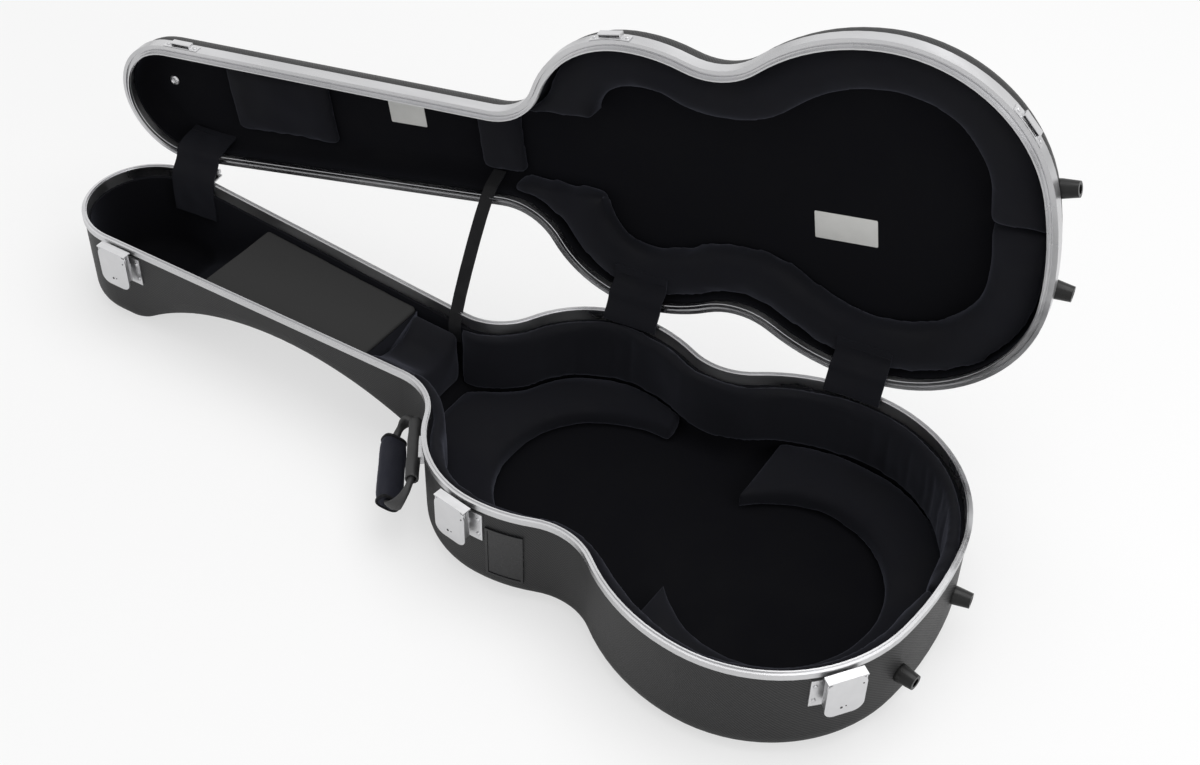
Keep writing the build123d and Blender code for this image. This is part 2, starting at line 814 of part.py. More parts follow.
with BuildPart() as hinge_base_rivets:
    add(base_rivets)
keep(hinge_base_rivets, "hinge_base_rivets")

with BuildPart() as hinge_lid_rivets:
    add(lid_rivets)
keep(hinge_lid_rivets, "hinge_lid_rivets")


# Latches: a plate with ears on the base, a link, a cover that hangs on it and a strike
def upper_latch_spot(u, out):
    """Spot at a distance along the wall from the upper latch, over the join of its two arcs."""
    way = degrees(u / shoulder_radius - acos((upper_latch_x - upper_bout_x) / shoulder_radius))
    if way < -90:
        return arc_spot((shoulder_centre[0], -shoulder_centre[1]), shoulder_radius + out, way)
    past = (way + 90) * shoulder_radius / upper_radius
    return arc_spot((upper_centre[0], -upper_centre[1]), upper_radius + out, past - 90)


latch_spots = {
    "head": (1, lambda u, out: neck_spot(head_latch_x + u, -1, out)),
    "upper": (1, upper_latch_spot),
    "lower": (
        -1,
        lambda u, out: arc_spot(
            (tail_centre[0], -tail_centre[1]),
            tail_radius + out,
            degrees(u / tail_radius - acos(lower_latch_x / tail_radius)),
        ),
    ),
}
link_rise = 2 * link_reach * sin(radians(link_angle))
knee = polar((latch_pivot_out, -latch_pivot_drop), link_reach, -link_angle)
cover_in = knee[0] + cover_out
cover_top = strike_high + lip_gap + cover_wall - link_rise
ear_half = link_half + ear_gap
latch_rivets = []
strike_rivets = []
for name, (side, wall_spot) in latch_spots.items():
    spot = wall_spot(0, 0)
    with BuildPart() as latch_plate:
        span = sorted((-side * plate_near, side * plate_far))
        add(strip(spot, span, -base_inset + seat_gap, 0, -plate_low, -plate_high))
        for shift in (-ear_half - ear_wall / 2, ear_half + ear_wall / 2):
            with BuildSketch(section_plane(spot, shift)):
                with Locations((latch_pivot_out, -latch_pivot_drop)):
                    Circle(ear_radius)
                with Locations((latch_pivot_out / 2 - fit_gap, -latch_pivot_drop)):
                    Rectangle(latch_pivot_out + ear_root, 2 * ear_radius)
            extrude(amount=ear_wall / 2, both=True)
        with BuildSketch(section_plane(spot)):
            with Locations((latch_pivot_out, -latch_pivot_drop)):
                Circle(latch_pin_radius)
        extrude(amount=ear_half + ear_wall, both=True)
    keep(latch_plate, f"{name}_latch_plate")

    with BuildPart() as latch_link:
        with BuildSketch(section_plane(spot)):
            with Locations((latch_pivot_out, -latch_pivot_drop), knee):
                Circle(link_radius)
            middle = ((latch_pivot_out + knee[0]) / 2, (knee[1] - latch_pivot_drop) / 2)
            with Locations(Location((*middle, 0), (0, 0, -link_angle))):
                Rectangle(link_reach, 2 * link_radius)
            with Locations((latch_pivot_out, -latch_pivot_drop)):
                Circle(latch_pin_radius + running_play, mode=Mode.SUBTRACT)
        extrude(amount=link_half, both=True)
        with BuildSketch(section_plane(spot)):
            with Locations(knee):
                Circle(latch_pin_radius)
        extrude(amount=cover_half, both=True)
    keep(latch_link, f"{name}_latch_link")

    with BuildPart() as latch_cover:
        with BuildSketch(Plane(wall_plane(spot).location * Location((0, 0, cover_in)))) as face:
            with Locations((0, cover_top - cover_height / 2)):
                Rectangle(2 * cover_half, cover_height)
            fillet(face.vertices().group_by(Axis.Z)[0], cover_corner)
        extrude(amount=cover_wall)
        with BuildSketch(section_plane(spot)):
            face_out = cover_in + cover_wall
            with Locations(((lip_reach + face_out) / 2, cover_top - cover_wall / 2)):
                Rectangle(face_out - lip_reach, cover_wall)
        extrude(amount=cover_half, both=True)
        for shift in (-cover_half + cover_wall / 2, cover_half - cover_wall / 2):
            with BuildSketch(section_plane(spot, shift)):
                flange_in = knee[0] - cover_flange_in
                with Locations(((flange_in + cover_in) / 2, cover_top - cover_flange_drop / 2)):
                    Rectangle(cover_in - flange_in, cover_flange_drop)
                with Locations(knee):
                    Circle(latch_pin_radius + running_play, mode=Mode.SUBTRACT)
            extrude(amount=cover_wall / 2, both=True)
    keep(latch_cover, f"{name}_latch_cover")

    with BuildPart() as latch_strike:
        plate_in = lid_overhang + seat_gap
        plate_out = plate_in + strike_wall
        span = (-strike_half, strike_half)
        add(strip(spot, span, plate_in, plate_out, strike_low, strike_high, lid_plane))
        bridge_top = plate_out + bridge_out
        with BuildSketch(section_plane(spot, 0, 0, lid_plane)):
            with Locations(((plate_in + bridge_top) / 2, (bridge_low + strike_high) / 2)):
                Rectangle(bridge_top - plate_in, strike_high - bridge_low)
        extrude(amount=bridge_half, both=True)
        with BuildSketch(section_plane(spot, 0, 0, lid_plane)):
            slot_out = bridge_top - bridge_wall
            slot_middle = (bridge_low + strike_high) / 2 - bridge_wall
            with Locations(((plate_out + slot_out) / 2, slot_middle)):
                Rectangle(slot_out - plate_out, strike_high - bridge_low)
        extrude(amount=bridge_half - bridge_wall, both=True, mode=Mode.SUBTRACT)
    keep(latch_strike, f"{name}_latch_strike")
    rivet_mid = -(plate_high + plate_low) / 2
    for drop in (-latch_rivet_pitch / 2, latch_rivet_pitch / 2):
        latch_rivets.append(rivet(wall_spot(side * latch_rivet_u, 0), rivet_mid + drop))
    for u in (-strike_rivet_u, strike_rivet_u):
        seat = wall_spot(u, plate_out)
        strike_rivets.append(rivet(seat, (strike_low + strike_high) / 2, lid_plane))

with BuildPart() as latch_plate_rivets:
    add(latch_rivets)
keep(latch_plate_rivets, "latch_plate_rivets")

with BuildPart() as latch_strike_rivets:
    add(strike_rivets)
keep(latch_strike_rivets, "latch_strike_rivets")

# Carrying handle: a sleeve on the shoulder, a strap that turns in it and a padded grip
handle_centre = (shoulder_centre[0], -shoulder_centre[1])
handle_spot = arc_spot(handle_centre, shoulder_radius, handle_way)
axle = (handle_out, -handle_drop)
with BuildPart() as handle_sleeve:
    with BuildSketch(section_plane(handle_spot, sleeve_shift)):
        with Locations(axle):
            Circle(sleeve_radius)
            Circle(strap_radius + strap_gap, mode=Mode.SUBTRACT)
    extrude(amount=sleeve_length / 2, both=True)
keep(handle_sleeve, "handle_sleeve")

with BuildPart() as handle_bracket:
    with BuildSketch(section_plane(handle_spot, sleeve_shift)):
        with Locations((0, axle[1])):
            Rectangle(2 * handle_out, bracket_height)
        with Locations(axle):
            Circle(sleeve_radius + fit_gap / 2, mode=Mode.SUBTRACT)
    extrude(amount=bracket_length / 2, both=True)
    with BuildSketch(Plane.XY.offset(rim_z - handle_drop - bracket_height)):
        make_face(outline(-base_inset + seat_gap))
    extrude(amount=2 * bracket_height, mode=Mode.SUBTRACT)
keep(handle_bracket, "handle_bracket")

way = radians(handle_way)
swing = radians(grip_angle)
along_rim = Vector(-sin(way), cos(way), 0)
to_grip = Vector(cos(way) * cos(swing), sin(way) * cos(swing), -sin(swing))
axle_point = Vector(*polar(handle_spot[:2], handle_out, handle_way), rim_z - handle_drop)
loop_middle = axle_point + along_rim * sleeve_shift
loop_plane = Plane(loop_middle, x_dir=along_rim, z_dir=along_rim.cross(to_grip))
with BuildPart() as handle_strap:
    with BuildLine(loop_plane) as loop:
        near = loop_near_length / 2
        far = loop_far_length / 2
        corners = ((-near, 0), (near, 0), (far, grip_offset), (-far, grip_offset))
        FilletPolyline(*corners, radius=strap_bend, close=True)
    with BuildSketch(Plane(loop.line @ 0, z_dir=loop.line % 0)):
        Circle(strap_radius)
    sweep(path=loop.line)
keep(handle_strap, "handle_strap")

grip_plane = Plane(loop_middle + to_grip * grip_offset, x_dir=loop_plane.z_dir, z_dir=along_rim)
with BuildPart() as handle_grip:
    for shift, less in (
        (-grip_length / 2, grip_end_less),
        (grip_end_run - grip_length / 2, grip_neck_less),
        (0, 0),
        (grip_length / 2 - grip_end_run, grip_neck_less),
        (grip_length / 2, grip_end_less),
    ):
        with BuildSketch(grip_plane.offset(shift)):
            RectangleRounded(grip_width - less, grip_depth - less, grip_round - less / 2)
    loft()
    with BuildSketch(grip_plane.offset(-grip_length)):
        Circle(strap_radius + strap_gap / 2)
    extrude(amount=2 * grip_length, mode=Mode.SUBTRACT)
keep(handle_grip, "handle_grip")

# Feet on the tail wall
for part_name, frame, height, form in (
    ("base", Plane.XY, -base_foot_drop, base_outer),
    ("lid", lid_plane, lid_foot_rise, lid_outer),
):
    for side, name in ((1, "hinge"), (-1, "latch")):
        spot = arc_spot(tail_end_centre, tail_end_radius, side * foot_turn)
        seat = wall_plane(spot, height, frame)
        with BuildPart() as foot:
            with BuildSketch(seat.offset(-foot_sink)):
                Circle(foot_radius)
            with BuildSketch(seat):
                Circle(foot_radius)
            with BuildSketch(seat.offset(foot_length)):
                Circle(foot_tip_radius)
            loft(ruled=True)
            with BuildSketch(seat.offset(foot_length)):
                Circle(foot_bore)
            extrude(amount=-foot_bore_depth, mode=Mode.SUBTRACT)
            add(form, mode=Mode.SUBTRACT)
        keep(foot, f"{part_name}_foot_{name}_side")

# Bare badge on the latch side
badge_way = -degrees(acos((badge_x - upper_centre[0]) / upper_radius))
badge_spot = arc_spot((upper_centre[0], -upper_centre[1]), upper_radius, badge_way)
with BuildPart() as badge_frame:
    half = badge_width / 2
    badge_out = -base_inset + seat_gap + badge_wall
    low = -badge_drop - badge_height / 2
    add(strip(badge_spot, (-half, half), -base_inset + seat_gap, badge_out, low, low + badge_height))
    inner = half - badge_border
    add(
        strip(
            badge_spot,
            (-inner, inner),
            badge_out - badge_recess,
            badge_out + badge_recess,
            low + badge_border,
            low + badge_height - badge_border,
        ),
        mode=Mode.SUBTRACT,
    )
keep(badge_frame, "badge_frame")


# Cloth flaps over the hinges
def axis_gap(spot):
    """Distance of a spot of the wall inwards from the hinge axis."""
    way = radians(hinge_out)
    return (axis_start[0] - spot[0]) * cos(way) + (axis_start[1] - spot[1]) * sin(way)


for name, (hinge_x, wall_spot) in hinge_spots.items():
    width = head_flap_width if name == "head" else flap_width
    gaps = [axis_gap(wall_spot(u, 0)) for u in (-width / 2, 0, width / 2)]
    inner_w = -max(gaps) + lining_out - flap_wall / 2 - 2 * soft_gap
    front_w = -lid_lip_drop - axis_up - flap_wall / 2 - soft_gap
    end_w = lid_pad_low - axis_up - flap_wall
    top_v = max(gaps) + lid_face_width + flap_wall
    low_v = -flap_hang if name == "head" else panel_high - axis_z + soft_gap + flap_wall
    with BuildPart() as flap:
        with BuildSketch(section_plane(axis_spot(hinge_x), 0, axis_up)):
            with BuildLine():
                Polyline(
                    (inner_w, low_v),
                    (inner_w, -axis_up),
                    (front_w, gaps[1]),
                    (front_w, top_v),
                    (end_w, top_v + 2 * flap_wall),
                )
            trace(line_width=flap_wall)
        extrude(amount=width / 2, both=True)
    keep(flap, f"{name}_hinge_flap")

# Stay strap from the base lining over both rims to the neck pad of the lid
stay_seat = neck_spot(stay_x, 1, lining_out)
over_lip = neck_spot(stay_lid_x, 1, -lid_lip_inset - lid_lip_wall - 2 * stay_wall)
pad_edge_y = neck_pad_y + neck_pad_width / 2 + 2 * stay_wall
pad_middle = rim_z + lid_roof - neck_pad_wall / 2
lip_front = rim_z - lid_lip_drop - stay_wall
stay_lip = lid_plane.from_local_coords(Vector(stay_lid_x, over_lip[1], lip_front))
stay_end = lid_plane.from_local_coords(Vector(stay_lid_x, pad_edge_y, pad_middle))
wall_point = Vector(stay_seat[0], stay_seat[1], 0)
stay_run = Vector(stay_lip.X - wall_point.X, stay_lip.Y - wall_point.Y, 0).normalized()
stay_skew = abs(stay_run.get_angle(Vector(*neck_out, 0)))
stay_off = soft_gap + stay_wall / 2 + stay_width / 2 * tan(radians(stay_skew))
stay_base = wall_point - stay_run * stay_off
with BuildPart() as stay_strap:
    with BuildSketch(Plane(stay_base, x_dir=stay_run, z_dir=stay_run.cross(Vector(0, 0, 1)))):
        with BuildLine():
            Polyline(
                (0, stay_low),
                (0, rim_z),
                ((stay_lip - stay_base).dot(stay_run), stay_lip.Z),
                ((stay_end - stay_base).dot(stay_run), stay_end.Z),
            )
        trace(line_width=stay_wall)
    extrude(amount=stay_width / 2, both=True)
keep(stay_strap, "stay_strap")

if __name__ == "__main__":
    os.makedirs("parts", exist_ok=True)
    for piece in pieces:
        export_step(piece, f"parts/{piece.label}.step")
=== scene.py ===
"""Dresses the shaped guitar case: finishes, linings, pads, flaps, straps and small fittings."""

import json
import logging
from dataclasses import dataclass
from enum import Enum
from math import cos, pi, radians, sin
from typing import Callable, ClassVar

import bmesh
import bpy
from mathutils import Matrix, Vector, noise


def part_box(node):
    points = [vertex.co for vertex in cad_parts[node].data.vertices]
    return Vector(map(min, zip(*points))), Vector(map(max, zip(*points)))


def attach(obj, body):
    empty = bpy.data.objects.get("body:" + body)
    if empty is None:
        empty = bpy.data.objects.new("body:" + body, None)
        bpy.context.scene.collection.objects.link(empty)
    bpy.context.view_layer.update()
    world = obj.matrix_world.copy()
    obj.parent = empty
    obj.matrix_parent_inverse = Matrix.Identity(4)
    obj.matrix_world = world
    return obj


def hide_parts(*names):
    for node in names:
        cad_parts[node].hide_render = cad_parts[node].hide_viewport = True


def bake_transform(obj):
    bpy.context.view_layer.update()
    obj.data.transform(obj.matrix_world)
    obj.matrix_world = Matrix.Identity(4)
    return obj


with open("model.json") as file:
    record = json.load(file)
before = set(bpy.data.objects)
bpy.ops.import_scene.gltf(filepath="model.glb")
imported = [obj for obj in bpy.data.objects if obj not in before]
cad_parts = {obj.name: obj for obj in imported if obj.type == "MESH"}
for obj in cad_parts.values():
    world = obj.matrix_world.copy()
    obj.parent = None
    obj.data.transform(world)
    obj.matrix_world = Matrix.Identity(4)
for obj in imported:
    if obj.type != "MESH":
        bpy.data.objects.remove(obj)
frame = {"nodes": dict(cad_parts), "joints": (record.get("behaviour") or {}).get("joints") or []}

log = logging.getLogger("guitar_case")
MM = 0.001
ROUTE_STEP = 0.003
UP = Vector((0, 0, 1))
NODES = frame["nodes"]
JOINTS = {joint["name"]: joint for joint in frame["joints"]}
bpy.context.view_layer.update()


class Body(Enum):
    """Rigid body of the frame that a piece rides on."""

    BASE = "base"
    LID = "lid"
    HANDLE = "handle"
    BOX_LID = "box_lid"


class Side(Enum):
    """Side of the case, as the sign of y."""

    HINGE = 1
    LATCH = -1


@dataclass(frozen=True)
class CasePlan:
    """Heights and opening of the case that its trims follow, in millimetres and degrees."""

    rim_z: float = 120.0
    lid_roof: float = 39.5
    open_angle: float = 91.0
    axis_up: float = 3.0

    def hinge_axis(self) -> tuple[Vector, Vector]:
        """Point on the lid's hinge axis and its direction, in metres."""
        joint = JOINTS["lid_hinge"]
        return Vector(joint["pos_m"]), Vector(joint["axis"]).normalized()

    def lid_matrix(self) -> Matrix:
        """Matrix that takes a closed place to the same place on the open lid."""
        point, way = self.hinge_axis()
        turn = Matrix.Rotation(-radians(self.open_angle), 4, way)
        return Matrix.Translation(point) @ turn @ Matrix.Translation(-point)


PLAN = CasePlan()


class NodeGroups:
    """Shader node groups that several finishes share."""

    @staticmethod
    def _start(name: str, inputs: dict[str, tuple[str, float]],
               outputs: dict[str, str]) -> bpy.types.NodeTree:
        """Make an empty group with its sockets.

        Args:
            name: Name of the group.
            inputs: Socket type and default of each input.
            outputs: Socket type of each output.

        Returns:
            The group's tree with its input and output nodes.
        """
        tree = bpy.data.node_groups.new(name, "ShaderNodeTree")
        for label, (kind, value) in inputs.items():
            socket = tree.interface.new_socket(label, in_out="INPUT", socket_type=kind)
            if kind == "NodeSocketFloat":
                socket.default_value = value
        for label, kind in outputs.items():
            tree.interface.new_socket(label, in_out="OUTPUT", socket_type=kind)
        tree.nodes.new("NodeGroupInput")
        tree.nodes.new("NodeGroupOutput")
        return tree

    @staticmethod
    def _math(tree: bpy.types.NodeTree, operation: str, first: object, second: object = None) -> object:
        """Add a Math node and return its output.

        Args:
            tree: Tree that gets the node.
            operation: Math operation.
            first: Socket or number of the first input.
            second: Socket or number of the second input.

        Returns:
            The node's output socket.
        """
        node = tree.nodes.new("ShaderNodeMath")
        node.operation = operation
        for index, value in enumerate((first, second)):
            if value is None:
                continue
            if isinstance(value, (int, float)):
                node.inputs[index].default_value = value
            else:
                tree.links.new(value, node.inputs[index])
        return node.outputs[0]

    @classmethod
    def weave(cls) -> bpy.types.NodeTree:
        """Woven threads on the face that a surface turns most towards."""
        known = bpy.data.node_groups.get("Weave")
        if known:
            return known
        tree = cls._start(
            "Weave",
            {"Vector": ("NodeSocketVector", 0), "Facing": ("NodeSocketVector", 0),
             "Thread": ("NodeSocketFloat", 0.0014), "Diagonal": ("NodeSocketFloat", 1.0)},
            {"Height": "NodeSocketFloat", "Rib": "NodeSocketFloat"},
        )
        source, sink = tree.nodes["Group Input"].outputs, tree.nodes["Group Output"].inputs
        place = tree.nodes.new("ShaderNodeSeparateXYZ")
        face = tree.nodes.new("ShaderNodeSeparateXYZ")
        tree.links.new(source["Vector"], place.inputs[0])
        tree.links.new(source["Facing"], face.inputs[0])
        flat = [cls._math(tree, "ABSOLUTE", face.outputs[i]) for i in range(3)]
        side_on = cls._math(tree, "GREATER_THAN", flat[0], flat[1])
        level = cls._math(tree, "GREATER_THAN", flat[2], 0.7)
        across = cls._pick(tree, side_on, place.outputs[0], place.outputs[1])
        along = cls._pick(tree, level, place.outputs[2], place.outputs[1])
        turn = cls._math(tree, "DIVIDE", 2 * pi, source["Thread"])
        warp = cls._math(tree, "MULTIPLY", across, turn)
        weft = cls._math(tree, "MULTIPLY", along, turn)
        shift = cls._math(tree, "MULTIPLY", weft, source["Diagonal"])
        rib = cls._math(tree, "SINE", cls._math(tree, "ADD", warp, shift))
        cross = cls._math(tree, "SINE", cls._math(tree, "MULTIPLY", weft, 2.0))
        both = cls._math(tree, "ADD", rib, cls._math(tree, "MULTIPLY", cross, 0.5))
        tree.links.new(cls._math(tree, "MULTIPLY", both, 0.5), sink["Height"])
        tree.links.new(cls._math(tree, "ADD", cls._math(tree, "MULTIPLY", rib, 0.5), 0.5), sink["Rib"])
        return tree

    @classmethod
    def _pick(cls, tree: bpy.types.NodeTree, test: object, off: object, on: object) -> object:
        """Output that is one of two values, by a test of 0 or 1."""
        kept = cls._math(tree, "MULTIPLY", off, cls._math(tree, "SUBTRACT", 1.0, test))
        return cls._math(tree, "ADD", kept, cls._math(tree, "MULTIPLY", on, test))

    @classmethod
    def patches(cls) -> bpy.types.NodeTree:
        """Cloudy patches over a fine grain, for nap, wear and castings."""
        known = bpy.data.node_groups.get("Patches")
        if known:
            return known
        tree = cls._start(
            "Patches",
            {"Vector": ("NodeSocketVector", 0), "Patch": ("NodeSocketFloat", 30.0),
             "Grain": ("NodeSocketFloat", 900.0), "Stretch": ("NodeSocketFloat", 1.0)},
            {"Cloud": "NodeSocketFloat", "Grain": "NodeSocketFloat"},
        )
        source, sink = tree.nodes["Group Input"].outputs, tree.nodes["Group Output"].inputs
        scaled = tree.nodes.new("ShaderNodeCombineXYZ")
        parts = tree.nodes.new("ShaderNodeSeparateXYZ")
        tree.links.new(source["Vector"], parts.inputs[0])
        tree.links.new(cls._math(tree, "MULTIPLY", parts.outputs[0], source["Stretch"]), scaled.inputs[0])
        tree.links.new(parts.outputs[1], scaled.inputs[1])
        tree.links.new(parts.outputs[2], scaled.inputs[2])
        for label, scale, detail in (("Cloud", "Patch", 4.0), ("Grain", "Grain", 2.0)):
            texture = tree.nodes.new("ShaderNodeTexNoise")
            texture.inputs["Detail"].default_value = detail
            tree.links.new(scaled.outputs[0], texture.inputs["Vector"])
            tree.links.new(source[scale], texture.inputs["Scale"])
            tree.links.new(texture.outputs[0], sink[label])
        return tree


@dataclass(frozen=True)
class Finish:
    """Finish of one surface: its colours, gloss and the scale of its texture."""

    name: str
    slot: str
    dark: tuple[float, float, float]
    light: tuple[float, float, float]
    rough: tuple[float, float] = (0.5, 0.6)
    metallic: float = 0.0
    specular: float = 0.5
    patch: float = 30.0
    grain: float = 900.0
    stretch: float = 1.0
    bump: float = 0.1
    bump_depth: float = 0.0002
    thread: float = 0.0
    diagonal: float = 1.0
    rib_share: float = 0.0
    sheen: float = 0.0
    sheen_rough: float = 0.4
    sheen_tint: tuple[float, float, float] = (0.6, 0.63, 0.8)
    coat: float = 0.0
    coat_rough: float = 0.2

    def material(self) -> bpy.types.Material:
        """Return this finish's material, built the first time it is asked for."""
        known = bpy.data.materials.get(self.name)
        if known:
            return known
        made = bpy.data.materials.new(self.name)
        made.use_nodes = True
        tree = made.node_tree
        shader = tree.nodes["Principled BSDF"]
        self._set_constants(shader)
        place = tree.nodes.new("ShaderNodeTexCoord")
        patches = self._group(tree, NodeGroups.patches(), place)
        patches.inputs["Patch"].default_value = self.patch
        patches.inputs["Grain"].default_value = self.grain
        patches.inputs["Stretch"].default_value = self.stretch
        ramp = tree.nodes.new("ShaderNodeMapRange")
        ramp.inputs["From Min"].default_value = 0.35
        ramp.inputs["From Max"].default_value = 0.65
        ramp.inputs["To Min"].default_value = self.rough[0]
        ramp.inputs["To Max"].default_value = self.rough[1]
        tree.links.new(patches.outputs["Cloud"], ramp.inputs["Value"])
        tree.links.new(ramp.outputs[0], shader.inputs["Roughness"])
        tint = tree.nodes.new("ShaderNodeMix")
        tint.data_type = "RGBA"
        tint.inputs[6].default_value = (*self.dark, 1)
        tint.inputs[7].default_value = (*self.light, 1)
        height = patches.outputs["Grain"]
        share = patches.outputs["Cloud"]
        if self.thread:
            weave = self._group(tree, NodeGroups.weave(), place)
            tree.links.new(place.outputs["Normal"], weave.inputs["Facing"])
            weave.inputs["Thread"].default_value = self.thread
            weave.inputs["Diagonal"].default_value = self.diagonal
            height = weave.outputs["Height"]
            blend = tree.nodes.new("ShaderNodeMix")
            blend.inputs[0].default_value = self.rib_share
            tree.links.new(patches.outputs["Cloud"], blend.inputs[2])
            tree.links.new(weave.outputs["Rib"], blend.inputs[3])
            share = blend.outputs[0]
        tree.links.new(share, tint.inputs[0])
        tree.links.new(tint.outputs[2], shader.inputs["Base Color"])
        bump = tree.nodes.new("ShaderNodeBump")
        bump.inputs["Strength"].default_value = self.bump
        bump.inputs["Distance"].default_value = self.bump_depth
        tree.links.new(height, bump.inputs["Height"])
        tree.links.new(bump.outputs[0], shader.inputs["Normal"])
        return made

    def _set_constants(self, shader: bpy.types.Node) -> None:
        """Set the shader's sockets that are the same all over the surface."""
        shader.inputs["Metallic"].default_value = self.metallic
        shader.inputs["Specular IOR Level"].default_value = self.specular
        shader.inputs["Sheen Weight"].default_value = self.sheen
        shader.inputs["Sheen Roughness"].default_value = self.sheen_rough
        shader.inputs["Sheen Tint"].default_value = (*self.sheen_tint, 1)
        shader.inputs["Coat Weight"].default_value = self.coat
        shader.inputs["Coat Roughness"].default_value = self.coat_rough

    @staticmethod
    def _group(tree: bpy.types.NodeTree, group: bpy.types.NodeTree, place: bpy.types.Node) -> bpy.types.Node:
        """Place a shared group in a material, on Object coordinates."""
        node = tree.nodes.new("ShaderNodeGroup")
        node.node_tree = group
        tree.links.new(place.outputs["Object"], node.inputs["Vector"])
        return node


SHELL = Finish("twill_shell", "shell", (0.004, 0.004, 0.0042), (0.027, 0.027, 0.028), (0.42, 0.54),
               specular=0.32, patch=6, thread=0.0036, rib_share=0.9, bump=0.45, bump_depth=0.0004,
               coat=0.04, coat_rough=0.35)
RIM = Finish("satin_aluminium", "rim", (0.46, 0.46, 0.47), (0.74, 0.74, 0.75), (0.22, 0.4), metallic=1.0,
             patch=22, grain=500, stretch=0.25, bump=0.02)
LATCH = Finish("satin_nickel", "latch", (0.6, 0.6, 0.61), (0.74, 0.74, 0.75), (0.28, 0.4), metallic=1.0,
               patch=60, grain=1800, bump=0.05)
PIN = Finish("plain_steel", "pin", (0.5, 0.5, 0.51), (0.7, 0.7, 0.71), (0.25, 0.4),
             metallic=1.0, patch=120)
VELVET = Finish("short_velvet", "velvet", (0.001, 0.001, 0.0014), (0.0085, 0.0088, 0.0125), (0.72, 0.95),
                specular=0.15, patch=13, grain=1500, bump=0.25, bump_depth=0.0004,
                sheen=0.15, sheen_rough=0.45)
LINING = Finish("pile_lining", "lining", (0.0015, 0.0015, 0.002), (0.004, 0.004, 0.0055), (0.8, 0.98),
                specular=0.08, patch=14, grain=1800, bump=0.2, bump_depth=0.0004,
                sheen=0.06, sheen_rough=0.5)
BOX_CLOTH = Finish("box_cloth", "box_cloth", (0.001, 0.001, 0.0012), (0.0055, 0.0054, 0.0056), (0.7, 0.9),
                   specular=0.1, patch=12, thread=0.0012, rib_share=0.35, bump=0.3, sheen=0.04)
RUBBER = Finish("moulded_rubber", "foot", (0.0015, 0.0015, 0.0015), (0.004, 0.004, 0.004), (0.26, 0.4),
                specular=0.35, patch=90, grain=1500, bump=0.08)
BADGE_AND_HOLE_SHADE = Finish("gloss_black", "badge", (0.005, 0.005, 0.006), (0.009, 0.009, 0.01), (0.22, 0.34), patch=80)
GRIP = Finish("padded_sleeve", "grip", (0.008, 0.0085, 0.014), (0.017, 0.018, 0.027), (0.7, 0.88),
              specular=0.25, patch=40, thread=0.0013, rib_share=0.3, bump=0.3, sheen=0.12)
STRAP = Finish("grained_strap", "strap", (0.012, 0.012, 0.0122), (0.04, 0.04, 0.041), (0.45, 0.65),
               patch=70, grain=1300, bump=0.25, bump_depth=0.0005)
WEBBING = Finish("woven_webbing", "webbing", (0.004, 0.004, 0.0045), (0.011, 0.011, 0.012), (0.7, 0.88),
                 specular=0.2, patch=60, thread=0.0016, rib_share=0.6, bump=0.5, bump_depth=0.0004,
                 sheen=0.08)
LABEL = Finish("woven_label", "label", (0.62, 0.62, 0.60), (0.76, 0.76, 0.74), (0.6, 0.75),
               patch=60, thread=0.0008, rib_share=0.25, bump=0.15)


